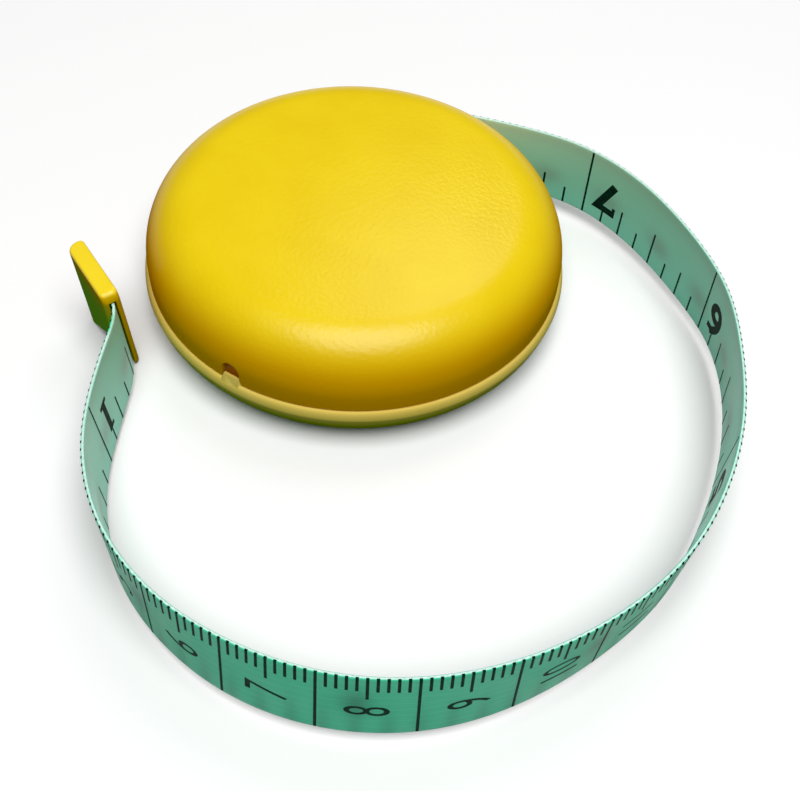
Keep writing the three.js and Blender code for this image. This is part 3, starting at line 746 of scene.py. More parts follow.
def strip_section():
    """Points round the strip's section: its two faces in rows, with soft edges between them."""
    half = TAPE_WIDTH / 2
    side = TAPE_THICKNESS / 2
    flat = half - EDGE_ROUND
    rows = [(x, side) for x in np.linspace(-flat, flat, FACE_ROWS + 1)]
    top = rounded([(half, side, EDGE_ROUND), (half, -side, EDGE_ROUND), (-half, 0, 0)])[:-1]
    back = [(-x, -y) for x, y in rows]
    bottom = [(-x, -y) for x, y in top]
    return [*rows, *top[1:-1], *back, *bottom[1:-1]]


def free_strip(stations):
    strip = band("tape_strip", stations, strip_section(), TAPE_FACE)
    strip.data.materials.append(TAPE_EDGE)
    return strip


def mark_strip(strip, stations):
    """Gives the strip its own coordinates and marks the faces of its cut edges."""
    places, middle, across, outward = stations
    mesh = strip.data
    points = np.zeros(len(mesh.vertices) * 3)
    mesh.vertices.foreach_get("co", points)
    points = points.reshape(-1, 3)
    nearest = nearest_station(points, middle)
    width = ((points - middle[nearest]) * across[nearest]).sum(1) + TAPE_WIDTH / 2
    layer = mesh.uv_layers.new(name="strip")
    flat = np.stack([places[nearest], width], 1) / MM
    corner = np.zeros(len(mesh.loops), int)
    mesh.loops.foreach_get("vertex_index", corner)
    layer.data.foreach_set("uv", flat[corner].ravel())
    side = ((points - middle[nearest]) * outward[nearest]).sum(1)
    ghost = mesh.attributes.new("ghost", "FLOAT", "POINT")
    ghost.data.foreach_set("value", show_through(places[nearest], width, side))
    # the inner face, which gets the paler tone of painted light and a coat
    within = mesh.attributes.new("within", "FLOAT", "POINT")
    within.data.foreach_set("value", (side < 0).astype(np.float32))
    # painted sheen by the mouth and wear by the tab
    rubbed = mesh.attributes.new("rubbed", "FLOAT", "POINT")
    rubbed.data.foreach_set("value", rub_wear(places[nearest], width, side, places[-1]))
    for face in mesh.polygons:
        spot = np.array(face.vertices)
        edge = np.minimum(width[spot], TAPE_WIDTH - width[spot])
        if edge.mean() < EDGE_ROUND / 10:
            face.material_index = 1
    return smooth(strip, STRIP_SHARP_ANGLE)


def bell(offset, spread):
    return np.exp(-(offset / spread) ** 2 / 2)


def show_through(place, width, side):
    """How much of the print of the other face shows through, from 0 to 1, blurred by the strip's core."""
    numeral_start = INCH_ZERO - INCH_NUMERAL_BACK
    inch = np.round((place - numeral_start) / INCH) * INCH + numeral_start
    number = bell(place - inch, GHOST_BLUR * INCH_GHOST_LONG)
    number = number * bell(width - TAPE_WIDTH * INCH_GHOST_PLACE, GHOST_BLUR * INCH_GHOST_WIDE)
    eighth = np.round((place - INCH_ZERO) / EIGHTH) * EIGHTH + INCH_ZERO
    line = bell(place - eighth, GHOST_BLUR) * bell(width, TAPE_WIDTH * LINE_GHOST_REACH)
    outer = number * INCH_GHOST_DEPTH + line * LINE_GHOST_DEPTH
    centimetre = np.round((place - METRIC_ZERO) / CENTIMETRE - 0.5) + 0.5
    centimetre = centimetre * CENTIMETRE + METRIC_ZERO
    number = bell(place - centimetre, GHOST_BLUR * METRIC_GHOST_LONG)
    number = number * bell(width - TAPE_WIDTH * METRIC_GHOST_PLACE, GHOST_BLUR * METRIC_GHOST_WIDE)
    lines = bell(width - TAPE_WIDTH, TAPE_WIDTH * BAND_GHOST_REACH)
    inner = number * METRIC_GHOST_DEPTH + lines * BAND_GHOST_DEPTH
    return np.where(side > 0, outer, inner).astype(np.float32)


def rub_wear(place, width, side, length):
    """How pale the inner face is painted: a painted sheen by the mouth, rubbed wear by the tab, and more
    towards its upper edge.
    """
    mouth = np.clip((place - length + MOUTH_SHEEN) / MOUTH_SHEEN, 0, 1)
    tab = np.clip(1 - place / TAB_WEAR, 0, 1)
    upper = LOWER_SHEEN_AND_WEAR + (1 - LOWER_SHEEN_AND_WEAR) * width / TAPE_WIDTH
    worn = (mouth * MOUTH_SHEEN_DEPTH + tab * TAB_WEAR_DEPTH) * upper
    return np.where(side > 0, 0, worn).astype(np.float32)


def nearest_station(points, middle):
    order = np.zeros(len(points), int)
    for i, point in enumerate(points):
        order[i] = np.argmin(((middle - point) ** 2).sum(1))
    return order


# The print, made flat as (along, across) and then laid on the strip

def add_guide(stations):
    """The strip's middle line, which carries the direction across the strip."""
    _, middle, across, _ = stations
    mesh = bpy.data.meshes.new("tape_guide")
    mesh.from_pydata([tuple(point) for point in middle], [(i, i + 1) for i in range(len(middle) - 1)], [])
    layer = mesh.attributes.new("across", "FLOAT_VECTOR", "POINT")
    layer.data.foreach_set("vector", across.ravel())
    return add_object("tape_guide", mesh)


def laying_group():
    """Lays flat marks on the strip: x is the place along it, y across it, and z the lift from its middle."""
    tree, given, result = new_group("lay_on_tape", "GeometryNodeTree", [
        ("Marks", "NodeSocketGeometry", None),
        ("Guide", "NodeSocketObject", None),
        ("Side", "NodeSocketFloat", 1.0),
        ("Lift", "NodeSocketFloat", TAPE_THICKNESS / 2 + PRINT_LIFT),
    ], [("Marks", "NodeSocketGeometry")])
    guide = node(tree, "GeometryNodeObjectInfo", {"Object": given["Guide"]}).outputs["Geometry"]
    curve = node(tree, "GeometryNodeMeshToCurve", {"Mesh": guide}).outputs[0]
    place = node(tree, "GeometryNodeInputPosition").outputs[0]
    parts = node(tree, "ShaderNodeSeparateXYZ", {0: place}).outputs
    across = node(tree, "GeometryNodeInputNamedAttribute", {"Name": "across"}, data_type="FLOAT_VECTOR")
    found = node(tree, "GeometryNodeSampleCurve", {
        "Curves": curve, "Value": across.outputs[0], "Length": parts[0],
    }, mode="LENGTH", data_type="FLOAT_VECTOR")
    up = found.outputs["Value"]
    out = node(tree, "ShaderNodeVectorMath", {0: found.outputs["Tangent"], 1: up}, operation="CROSS_PRODUCT")
    out = node(tree, "ShaderNodeVectorMath", {0: out.outputs[0]}, operation="NORMALIZE").outputs[0]
    raised = node(tree, "ShaderNodeMath", {0: given["Side"], 1: given["Lift"], 2: parts[2]},
                  operation="MULTIPLY_ADD").outputs[0]
    across_part = node(tree, "ShaderNodeVectorMath", {0: up, "Scale": parts[1]}, operation="SCALE").outputs[0]
    out_part = node(tree, "ShaderNodeVectorMath", {0: out, "Scale": raised}, operation="SCALE").outputs[0]
    total = node(tree, "ShaderNodeVectorMath", {0: across_part, 1: out_part}, operation="ADD").outputs[0]
    total = node(tree, "ShaderNodeVectorMath", {0: found.outputs["Position"], 1: total},
                 operation="ADD").outputs[0]
    moved = node(tree, "GeometryNodeSetPosition", {"Geometry": given["Marks"], "Position": total}).outputs[0]
    tree.links.new(moved, result["Marks"])
    return tree


def scale_group(laying):
    """A row of equal lines across the strip; every nth, where a longer line stands, can be left out."""
    tree, given, result = new_group("scale_lines", "GeometryNodeTree", [
        ("Guide", "NodeSocketObject", None),
        ("First", "NodeSocketFloat", 0.0),
        ("Pitch", "NodeSocketFloat", MM),
        ("Count", "NodeSocketInt", 10),
        ("Skip", "NodeSocketInt", 0),
        ("Offset", "NodeSocketInt", 0),
        ("Length", "NodeSocketFloat", 2 * MM),
        ("Width", "NodeSocketFloat", LINE_WIDTH),
        ("Middle", "NodeSocketFloat", 0.0),
        ("Side", "NodeSocketFloat", 1.0),
        ("Tilt", "NodeSocketVector", None),
        ("Lift", "NodeSocketFloat", TAPE_THICKNESS / 2 + PRINT_LIFT),
        ("Ink", "NodeSocketMaterial", None),
    ], [("Lines", "NodeSocketGeometry")])
    start = node(tree, "ShaderNodeCombineXYZ", {0: given["First"], 1: given["Middle"]}).outputs[0]
    step = node(tree, "ShaderNodeCombineXYZ", {0: given["Pitch"]}).outputs[0]
    row = node(tree, "GeometryNodeMeshLine", {
        "Count": given["Count"], "Start Location": start, "Offset": step,
    })
    index = node(tree, "GeometryNodeInputIndex").outputs[0]
    counted = node(tree, "ShaderNodeMath", {0: index, 1: given["Offset"]}, operation="ADD").outputs[0]
    left = node(tree, "ShaderNodeMath", {0: counted, 1: given["Skip"]}, operation="MODULO").outputs[0]
    longer = node(tree, "FunctionNodeCompare", {0: left, 1: 0.5}, data_type="FLOAT", operation="LESS_THAN")
    skipping = node(tree, "FunctionNodeCompare", {0: given["Skip"], 1: 0.5}, data_type="FLOAT",
                    operation="GREATER_THAN")
    unwanted = node(tree, "FunctionNodeBooleanMath", {0: longer.outputs[0], 1: skipping.outputs[0]})
    kept = node(tree, "GeometryNodeDeleteGeometry", {0: row.outputs[0], 1: unwanted.outputs[0]}).outputs[0]
    line = node(tree, "GeometryNodeMeshGrid", {
        "Size X": given["Width"], "Size Y": given["Length"], "Vertices X": 2, "Vertices Y": 2,
    }).outputs[0]
    turned = node(tree, "GeometryNodeTransform", {"Geometry": line, "Rotation": given["Tilt"]}).outputs[0]
    lines = node(tree, "GeometryNodeInstanceOnPoints", {"Points": kept, "Instance": turned}).outputs[0]
    lines = node(tree, "GeometryNodeRealizeInstances", {0: lines}).outputs[0]
    laid = node(tree, "GeometryNodeGroup", {
        "Marks": lines, "Guide": given["Guide"], "Side": given["Side"], "Lift": given["Lift"],
    }, node_tree=laying)
    inked = node(tree, "GeometryNodeSetMaterial", {"Geometry": laid.outputs[0], "Material": given["Ink"]})
    tree.links.new(inked.outputs[0], result["Lines"])
    return tree


def numeral_group(laying):
    """Lays the flat numerals of one scale on the strip."""
    tree, given, result = new_group("scale_numerals", "GeometryNodeTree", [
        ("Numerals", "NodeSocketGeometry", None),
        ("Guide", "NodeSocketObject", None),
        ("Side", "NodeSocketFloat", 1.0),
        ("Ink", "NodeSocketMaterial", None),
    ], [("Numerals", "NodeSocketGeometry")])
    laid = node(tree, "GeometryNodeGroup", {
        "Marks": given["Numerals"], "Guide": given["Guide"], "Side": given["Side"],
    }, node_tree=laying)
    inked = node(tree, "GeometryNodeSetMaterial", {"Geometry": laid.outputs[0], "Material": given["Ink"]})
    tree.links.new(inked.outputs[0], result["Numerals"])
    return tree


def run_tree(obj, tree, values):
    """Runs a geometry tree on an object with named input values, and keeps the plain mesh."""
    modifier = obj.modifiers.new(tree.name, "NODES")
    modifier.node_group = tree
    for item in tree.interface.items_tree:
        if item.in_out == "INPUT" and item.name in values:
            modifier[item.identifier] = values[item.name]
    return plain(obj)


def line_row(name, tree, values, first, pitch, length, from_top, skip=0, full=False):
    """One row of lines on one face of the strip, from the first place to the end of the strip."""
    count = int((values["Last"] - first) / pitch) + 1
    middle = 0 if full else (TAPE_WIDTH - length - EDGE_ROUND * 2) / 2 * (1 if from_top else -1)
    return run_tree(add_mesh(name, [], []), tree, {
        **values, "First": first, "Pitch": pitch, "Count": count, "Skip": skip, "Offset": 2, "Length": length,
        "Middle": middle, "Ink": TAPE_INK,
    })


def edge_row(name, tree, values, first, pitch, skip=0):
    """The tips of a row of lines, where the ink runs over the strip's rounded upper edge."""
    bulge = EDGE_ROUND * (1 - math.sqrt(0.5)) + PRINT_LIFT
    inset = EDGE_ROUND / 2 - bulge * math.sqrt(0.5)
    count = int((values["Last"] - first) / pitch) + 1
    return run_tree(add_mesh(name, [], []), tree, {
        **values, "First": first, "Pitch": pitch, "Count": count, "Skip": skip, "Offset": 2,
        "Length": EDGE_ROUND * 2, "Middle": TAPE_WIDTH / 2 - inset, "Ink": TAPE_INK,
        "Tilt": (-math.pi / 4, 0, 0), "Lift": TAPE_THICKNESS / 2 - inset,
    })


def join_pieces(name, pieces):
    """Joins meshes into one named piece and removes the rest."""
    work = bmesh.new()
    for piece in pieces:
        work.from_mesh(piece.data)
    mesh = bpy.data.meshes.new(name)
    work.to_mesh(mesh)
    work.free()
    mesh.materials.append(TAPE_INK)
    for piece in pieces:
        bpy.data.objects.remove(piece)
    for face in mesh.polygons:
        face.material_index = 0
    return add_object(name, mesh)


def flat_numeral(word, height, weight, narrow, turn, place):
    """A number as a flat mesh: its height, stroke weight, narrowing and turn, and the place of its middle.

    A negative narrowing mirrors it, for the inner face.
    """
    data = bpy.data.curves.new("numeral", "FONT")
    data.body = word
    data.offset = weight
    data.resolution_u = 4
    source = add_object("numeral", data)
    plain_mesh = bpy.data.meshes.new_from_object(source)
    bpy.data.objects.remove(source)
    points = np.array([vertex.co for vertex in plain_mesh.vertices])
    low, high = points.min(0), points.max(0)
    size = height / (high[1] - low[1])
    middle = Vector((low + high) / 2)
    scale = Matrix.Diagonal((size * narrow, size, size, 1))
    shift = Matrix.Translation(Vector((*place, 0)))
    plain_mesh.transform(shift @ Matrix.Rotation(turn, 4, "Z") @ scale @ Matrix.Translation(-middle))
    return add_object("numeral", plain_mesh)


def bisect_along(obj, step):
    """Cuts a flat mesh into narrow slices along the strip, so that it can follow the strip's bends."""
    work = bmesh.new()
    work.from_mesh(obj.data)
    low = min(vertex.co.x for vertex in work.verts)
    high = max(vertex.co.x for vertex in work.verts)
    for place in np.arange(low + step, high, step):
        everything = [*work.verts, *work.edges, *work.faces]
        bmesh.ops.bisect_plane(work, geom=everything, dist=MERGE_DISTANCE,
                               plane_co=(place, 0, 0), plane_no=(1, 0, 0))
    work.to_mesh(obj.data)
    work.free()



def serifs(number, height, place):
    """The short bars of an inch numeral, as flat pieces turned like the numeral."""
    pieces = []
    for x, y, wide, high in SERIFS.get(number, []):
        corners = [(x - wide / 2, y - high / 2), (x + wide / 2, y - high / 2), (x + wide / 2, y + high / 2),
                   (x - wide / 2, y + high / 2)]
        points = [(place[0] + a * height, place[1] - b * height, 0) for a, b in corners]
        pieces.append(add_mesh("serif", points, [(0, 1, 2, 3)]))
    return pieces


def metric_numerals(length):
    words = []
    for number in range(1, int((length - METRIC_ZERO) / CENTIMETRE) + 1):
        place = (METRIC_ZERO + (number - 0.5) * CENTIMETRE, METRIC_NUMERAL_MIDDLE)
        words.append(flat_numeral(str(number), METRIC_NUMERAL, METRIC_WEIGHT, METRIC_SHAPE,
                                  math.pi / 2, place))
    return words


def inch_numerals(length):
    words = []
    for number in range(1, int((length - INCH_ZERO) / INCH) + 1):
        place = (INCH_ZERO + number * INCH - INCH_NUMERAL_BACK, INCH_NUMERAL_MIDDLE)
        height = INCH_ONE if number == 1 else INCH_NUMERAL
        words.append(flat_numeral(str(number), height, INCH_WEIGHT, INCH_SHAPE, math.pi, place))
        words += serifs(str(number), height, place)
    return words


def print_scales(stations):
    """Both printed scales: centimetres on the outer face and inches on the inner face."""
    length = stations[0][-1]
    guide = add_guide(stations)
    laying = laying_group()
    lines = scale_group(laying)
    numerals = numeral_group(laying)
    width = TAPE_WIDTH - EDGE_ROUND * 2
    outer = {"Guide": guide, "Last": length - PRINT_MARGIN, "Side": 1, "Width": LINE_WIDTH}
    inner = {"Guide": guide, "Last": length - PRINT_MARGIN, "Side": -1, "Width": INCH_LINE_WIDTH}
    first, fifth, tenth = METRIC_ZERO + 2 * MM, METRIC_ZERO + CENTIMETRE / 2, METRIC_ZERO + CENTIMETRE
    metric = [
        line_row("mm_lines", lines, outer, first, MM, MM_LINE * width, True, 5),
        line_row("half_cm_lines", lines, outer, fifth, CENTIMETRE, HALF_CM_LINE * width, True),
        line_row("cm_lines", lines, outer, tenth, CENTIMETRE, width, True, full=True),
        edge_row("line_tips", lines, outer, first, MM),
    ]
    inch = [
        line_row("eighth_lines", lines, inner, INCH_ZERO + EIGHTH, 2 * EIGHTH, EIGHTH_LINE * width, False),
        line_row("quarter_lines", lines, inner, INCH_ZERO + 2 * EIGHTH, 4 * EIGHTH,
                 QUARTER_LINE * width, False),
        line_row("half_inch_lines", lines, inner, INCH_ZERO + 4 * EIGHTH, INCH,
                 HALF_INCH_LINE * width, False),
        line_row("inch_lines", lines, inner, INCH_ZERO + INCH, INCH, width, False, full=True),
    ]
    pieces = [join_pieces("metric_lines", metric), join_pieces("inch_scale_lines", inch)]
    for name, words, side in (("metric_numerals", metric_numerals(length), 1),
                              ("inch_numerals", inch_numerals(length), -1)):
        flat = join_pieces(name, words)
        bisect_along(flat, NUMERAL_STEP)
        pieces.append(run_tree(flat, numerals, {"Guide": guide, "Side": side, "Ink": TAPE_INK}))
    bpy.data.objects.remove(guide)
    return pieces


def build_tape():
    stations = tape_stations()
    strip = mark_strip(free_strip(stations), stations)
    prints = print_scales(stations)
    tab = end_tab()
    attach(strip, "case")
    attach(tab, "case")
    for piece in prints:
        piece.parent = strip
    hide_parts("free_tape")
    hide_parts("end_tab")


# The end tab, a clip that is open below and stands over the first stretch of the tape

def tab_outline(inset, near, height):
    """The tab seen from above: a round outer corner at its far end, and small corners elsewhere."""
    half = TAB_THICKNESS / 2 - inset
    end = TAB_LENGTH - near
    return [(x, y, height) for x, y in rounded([
        (inset, half, TAB_FAR_INNER - inset), (inset, -half, TAB_FAR_OUTER - inset),
        (end, -half, TAB_NEAR_CORNER - inset), (end, half, TAB_NEAR_CORNER - inset),
    ], SMALL_STEPS // 2)]


def tab_levels(foot, top):
    """Heights of the tab's outlines, with how far its sides and its near end are drawn in at each."""
    levels = []
    for angle in np.linspace(0, math.pi / 2, FILLET_STEPS + 1):
        levels.append((TAB_EDGE * (1 - math.sin(angle)), foot + TAB_EDGE * (1 - math.cos(angle))))
    levels += [(0, z) for z in np.linspace(foot + TAB_EDGE * 2, top - TAB_NOSE, FILLET_STEPS)]
    for angle in np.linspace(0, math.pi / 2, SMALL_STEPS // 2)[1:]:
        z = top - TAB_NOSE + TAB_NOSE * math.sin(angle)
        drop = max(TAB_EDGE - (top - z), 0)
        levels.append((TAB_EDGE - math.sqrt(max(TAB_EDGE ** 2 - drop ** 2, 0)), z))
    return levels


def nose_inset(top, z):
    drop = max(z - (top - TAB_NOSE), 0)
    return TAB_NOSE - math.sqrt(max(TAB_NOSE ** 2 - drop ** 2, 0))


def mark_cast(tab, top):
    """Marks the tab's outer side, below its soft upper edge, for painted green light from the strip."""
    points = np.array([vertex.co for vertex in tab.data.vertices])
    share = -points[:, 1] / (TAB_THICKNESS / 2)
    outer = np.clip((share - PAINTED_LIGHT_START) * PAINTED_LIGHT_GROWTH, 0, 1)
    below = np.clip((top - TAB_NOSE - points[:, 2]) / TAB_EDGE + 0.5, 0, 1)
    layer = tab.data.attributes.new("cast", "FLOAT", "POINT")
    layer.data.foreach_set("value", (outer * below).astype(np.float32))


def end_tab():
    slot_top = TAPE_WIDTH + TAB_SLOT_GAP
    top = slot_top + TAB_WALL
    levels = tab_levels(-TAB_FOOT, top)
    outlines = [tab_outline(inset, max(inset, nose_inset(top, z)), z) for inset, z in levels]
    tab = loft("tab_clip", outlines, TAB_PLASTIC)
    slot_half = TAPE_THICKNESS / 2 + TAB_SLOT_GAP
    reach = TAB_LENGTH + OVERRUN
    floor = -TAB_FOOT - OVERRUN
    slot = [(TAB_END_WALL, -slot_half), (reach, -slot_half), (reach, slot_half), (TAB_END_WALL, slot_half)]
    slot_tool = loft("slot_tool", [[(x, y, floor) for x, y in slot], [(x, y, slot_top) for x, y in slot]])
    jaw_rise = (reach - JAW_START) * math.tan(JAW_ANGLE)
    wedge = [(JAW_START, -TAB_FOOT), (reach, jaw_rise - TAB_FOOT), (reach, floor), (JAW_START, floor)]
    depth = TAB_THICKNESS / 2 + OVERRUN
    jaw_tool = loft("jaw_tool", [[(x, 0, z) for x, z in wedge], [(x, -depth, z) for x, z in wedge]])
    combine(tab, [slot_tool, jaw_tool])
    mark_cast(tab, top)
    far = Vector(TAPE_ROUTE[0][:2]) * MM
    near = Vector(TAPE_ROUTE[TAB_NEAR_INDEX][:2]) * MM
    heading = math.atan2(near.y - far.y, near.x - far.x)
    turn = Matrix.Rotation(heading, 4, "Z") @ Matrix.Rotation(TAB_LEAN, 4, "X")
    from_near_end = Matrix.Translation((-TAB_LENGTH, 0, 0))
    tab.data.transform(Matrix.Translation((near.x, near.y, TAB_DROP)) @ turn @ from_near_end)
    return smooth(tab)


# The case

def lower_shell():
    roll_angle = -math.asin(1 - ROLL_START / LOWER_CORNER)
    shell = revolve("case_lower", [
        (OPENING_RADIUS, 0, EDGE_FILLET),
        *arc(BASE_RADIUS, LOWER_CORNER, LOWER_CORNER, -math.pi / 2, roll_angle),
        *rim_roll(),
        (TONGUE_RADIUS, PARTING_HEIGHT, 0),
        (TONGUE_RADIUS, PARTING_HEIGHT + TONGUE_HEIGHT, EDGE_FILLET),
        (INNER_RADIUS, PARTING_HEIGHT + TONGUE_HEIGHT, EDGE_FILLET),
        *arc(FLOOR_RADIUS, FLOOR_THICKNESS + LOWER_INNER_CORNER, LOWER_INNER_CORNER, 0, -math.pi / 2),
        (OPENING_RADIUS, FLOOR_THICKNESS, EDGE_FILLET),
    ], RIM_PLASTIC, CASE_STEPS)
    combine(shell, [mouth_tool("mouth_low")])
    sunk = FLOOR_THICKNESS / 2
    post = revolve("post", [
        (0, sunk, 0), (POST_RADIUS, sunk, 0), (POST_RADIUS, TAPE_TOP, EDGE_FILLET), (0, TAPE_TOP, 0),
    ], RIM_PLASTIC, SMALL_STEPS)
    reach = FLANGE_RADIUS + RUNNING_GAP + POST_RADIUS
    post.data.transform(Matrix.Translation((reach * math.cos(POST_ANGLE), reach * math.sin(POST_ANGLE), 0)))
    return smooth(combine(shell, [post, notch_pad(), notch_back()], "UNION"))


def rim_roll():
    """The rim's soft outer edge, an upright quarter of an ellipse."""
    points = []
    for angle in np.linspace(0, math.pi / 2, ARC_STEPS // 2 + 1):
        points.append((RIM_RADIUS - ROLL_WIDTH * (1 - math.cos(angle)),
                       PARTING_HEIGHT - ROLL_HEIGHT * (1 - math.sin(angle)), 0))
    return points[1:]


def upper_shell():
    rabbet_radius = TONGUE_RADIUS + FIT_GAP
    rabbet_top = PARTING_HEIGHT + TONGUE_HEIGHT + FIT_GAP
    inner_crown = CROWN_RADIUS - SIDE_WALL
    crown_start = math.pi / 2 - CROWN_ANGLE
    boss_join = math.acos(BOSS_RADIUS / inner_crown)
    shell = revolve("case_upper", [
        (0, CASE_HEIGHT, 0),
        *arc(0, CROWN_CENTRE, CROWN_RADIUS, math.pi / 2, crown_start, CROWN_STEPS)[1:-1],
        *arc(SHOULDER_CENTRE, SHOULDER_HEIGHT, SHOULDER_RADIUS, crown_start, 0),
        (WALL_RADIUS, FOOT_HEIGHT, EDGE_FILLET),
        (rabbet_radius, FOOT_HEIGHT, 0),
        (rabbet_radius, rabbet_top, 0),
        (INNER_RADIUS, rabbet_top, 0),
        *arc(SHOULDER_CENTRE, SHOULDER_HEIGHT, SHOULDER_RADIUS - SIDE_WALL, 0, crown_start),
        *arc(0, CROWN_CENTRE, inner_crown, crown_start, boss_join, CROWN_STEPS // 2)[1:],
        (BOSS_RADIUS, BOSS_BOTTOM, EDGE_FILLET),
        (0, BOSS_BOTTOM, 0),
    ], DOME_PLASTIC, CASE_STEPS)
    return smooth(combine(shell, [mouth_tool("mouth_high"), notch_tool(), socket_tool()]))


def through_wall(name, outline, start, end):
    """An upright outline, seen from outside, carried through the wall at the notch."""
    turn = Matrix.Rotation(NOTCH_ANGLE, 4, "Z")
    return loft(name, [[turn @ Vector((reach, x, z)) for x, z in outline] for reach in (start, end)])


def notch_tool():
    """An arch over a narrowing foot, through the foot of the upper wall, for a cord."""
    half = NOTCH_WIDTH / 2
    foot = NOTCH_FOOT / 2
    spring = FOOT_HEIGHT + NOTCH_HEIGHT - half
    below = FOOT_HEIGHT - OVERRUN
    arch = [(-foot, below), (foot, below), (foot, FOOT_HEIGHT), (half, PAD_TOP)]
    arch += [(x, z) for x, z, _ in arc(0, spring, half, 0, math.pi)]
    arch += [(-half, PAD_TOP), (-foot, FOOT_HEIGHT)]
    return through_wall("notch_tool", arch, INNER_RADIUS - OVERRUN, WALL_RADIUS + OVERRUN)


def notch_pad():
    """The pad of the lower shell that closes the notch's foot, with an outer face that runs into the rim."""
    half = NOTCH_WIDTH / 2 - SEAT_GAP
    foot = NOTCH_FOOT / 2 - SEAT_GAP
    inner = WALL_RADIUS - SEAT_GAP - PAD_WALL
    rim_top = PARTING_HEIGHT - SEAT_GAP * 2
    levels = [(inner, PARTING_HEIGHT, PAD_TOP), (WALL_RADIUS - SEAT_GAP, PARTING_HEIGHT, PAD_TOP),
              (WALL_RADIUS + PAD_SLOPE, rim_top - SEAT_GAP, rim_top)]
    turn = Matrix.Rotation(NOTCH_ANGLE, 4, "Z")
    outlines = []
    for reach, low, high in levels:
        right = [(foot, LOWER_CORNER), (foot, low), (half, high)]
        outline = [(-foot, LOWER_CORNER), *right, (-half, high), (-foot, low)]
        outlines.append([turn @ Vector((reach, x, z)) for x, z in outline])
    return loft("notch_pad", outlines, RIM_PLASTIC)


def notch_back():
    """The wall of the lower shell that stands behind the notch, a little proud of the tongue. Its brown is
    painted shade, with painted light reflected from the yellow walls.
    """
    half = NOTCH_WIDTH / 2 - NOTCH_BACK
    low, high = PARTING_HEIGHT - FIT_GAP, PARTING_HEIGHT + NOTCH_HEIGHT
    outline = [(-half, low), (half, low), (half, high), (-half, high)]
    back = through_wall("notch_back", outline, INNER_RADIUS + NOTCH_BACK, TONGUE_RADIUS + NOTCH_BACK)
    back.data.materials.append(NOTCH_PAINTED_SHADE)
    return back


def socket_tool():
    """The square socket in the boss, which holds the arbor's tenon."""
    half = ARBOR_SQUARE / 2 + SEAT_GAP
    square = [(-half, -half), (half, -half), (half, half), (-half, half)]
    levels = (BOSS_BOTTOM - OVERRUN, BOSS_BOTTOM + TENON_LENGTH + SEAT_GAP)
    return loft("socket_tool", [[(x, y, z) for x, y in square] for z in levels])


def push_button():
    socket_radius = BEARING_RADIUS + SOCKET_WALL
    wall_inner = BUTTON_RADIUS - BUTTON_WALL
    dish = [(wall_inner * k / SMALL_STEPS, BUTTON_RECESS + BUTTON_DISH * (1 - (k / SMALL_STEPS) ** 2), 0)
            for k in range(SMALL_STEPS + 1)]
    return revolve("button_cap", [
        *dish,
        (BUTTON_RADIUS, BUTTON_RECESS, SOFT_FILLET),
        (BUTTON_RADIUS, PLATE_TOP, 0),
        (BUTTON_FLANGE_RADIUS, PLATE_TOP, EDGE_FILLET),
        (BUTTON_FLANGE_RADIUS, BUTTON_FLANGE_TOP, EDGE_FILLET),
        (BUTTON_RADIUS, BUTTON_FLANGE_TOP, 0),
        (BUTTON_RADIUS, BUTTON_TOP, EDGE_FILLET),
        (wall_inner, BUTTON_TOP, EDGE_FILLET),
        (wall_inner, PLATE_TOP, 0),
        (socket_radius, PLATE_TOP, 0),
        (socket_radius, BUTTON_TOP, EDGE_FILLET),
        (BEARING_RADIUS, BUTTON_TOP, EDGE_FILLET),
        (BEARING_RADIUS, PLATE_TOP, 0),
        (0, PLATE_TOP, 0),
    ], BUTTON_PLASTIC)


def build_case():
    for piece, solid, body in ((lower_shell(), "lower_shell", "case"), (upper_shell(), "upper_shell", "case"),
                               (push_button(), "push_button", "button")):
        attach(piece, body)
        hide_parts(solid)


# The wound pieces: the tape on the reel and the two springs

def spiral_group():
    """A spiral of a rectangular or round section, flat or rising, about +Z."""
    tree, given, result = new_group("wound_form", "GeometryNodeTree", [
        ("Turns", "NodeSocketFloat", 5.0),
        ("Steps", "NodeSocketInt", TURN_STEPS),
        ("Start Radius", "NodeSocketFloat", MM),
        ("End Radius", "NodeSocketFloat", 2 * MM),
        ("Rise", "NodeSocketFloat", 0.0),
        ("Base", "NodeSocketFloat", 0.0),
        ("Width", "NodeSocketFloat", MM),
        ("Thickness", "NodeSocketFloat", MM / 4),
        ("Rounding", "NodeSocketFloat", MM / 20),
        ("Finish", "NodeSocketMaterial", None),
    ], [("Form", "NodeSocketGeometry")])
    spiral = node(tree, "GeometryNodeCurveSpiral", {
        "Resolution": given["Steps"], "Rotations": given["Turns"], "Start Radius": given["Start Radius"],
        "End Radius": given["End Radius"], "Height": given["Rise"],
    }).outputs[0]
    base = node(tree, "ShaderNodeCombineXYZ", {2: given["Base"]}).outputs[0]
    placed = node(tree, "GeometryNodeTransform", {"Geometry": spiral, "Translation": base}).outputs[0]
    upright = node(tree, "GeometryNodeSetCurveNormal", {"Curve": placed}, mode="Z_UP").outputs[0]
    section = node(tree, "GeometryNodeCurvePrimitiveQuadrilateral", {
        "Width": given["Thickness"], "Height": given["Width"],
    }).outputs[0]
    soft = node(tree, "GeometryNodeFilletCurve", {"Curve": section, "Radius": given["Rounding"], "Count": 3},
                mode="POLY").outputs[0]
    form = node(tree, "GeometryNodeCurveToMesh", {"Curve": upright, "Profile Curve": soft, "Fill Caps": True})
    smoothed = node(tree, "GeometryNodeSetShadeSmooth", {"Geometry": form.outputs[0]}).outputs[0]
    real = node(tree, "GeometryNodeRealizeInstances", {0: smoothed}).outputs[0]
    finished = node(tree, "GeometryNodeSetMaterial", {"Geometry": real, "Material": given["Finish"]})
    tree.links.new(finished.outputs[0], result["Form"])
    return tree


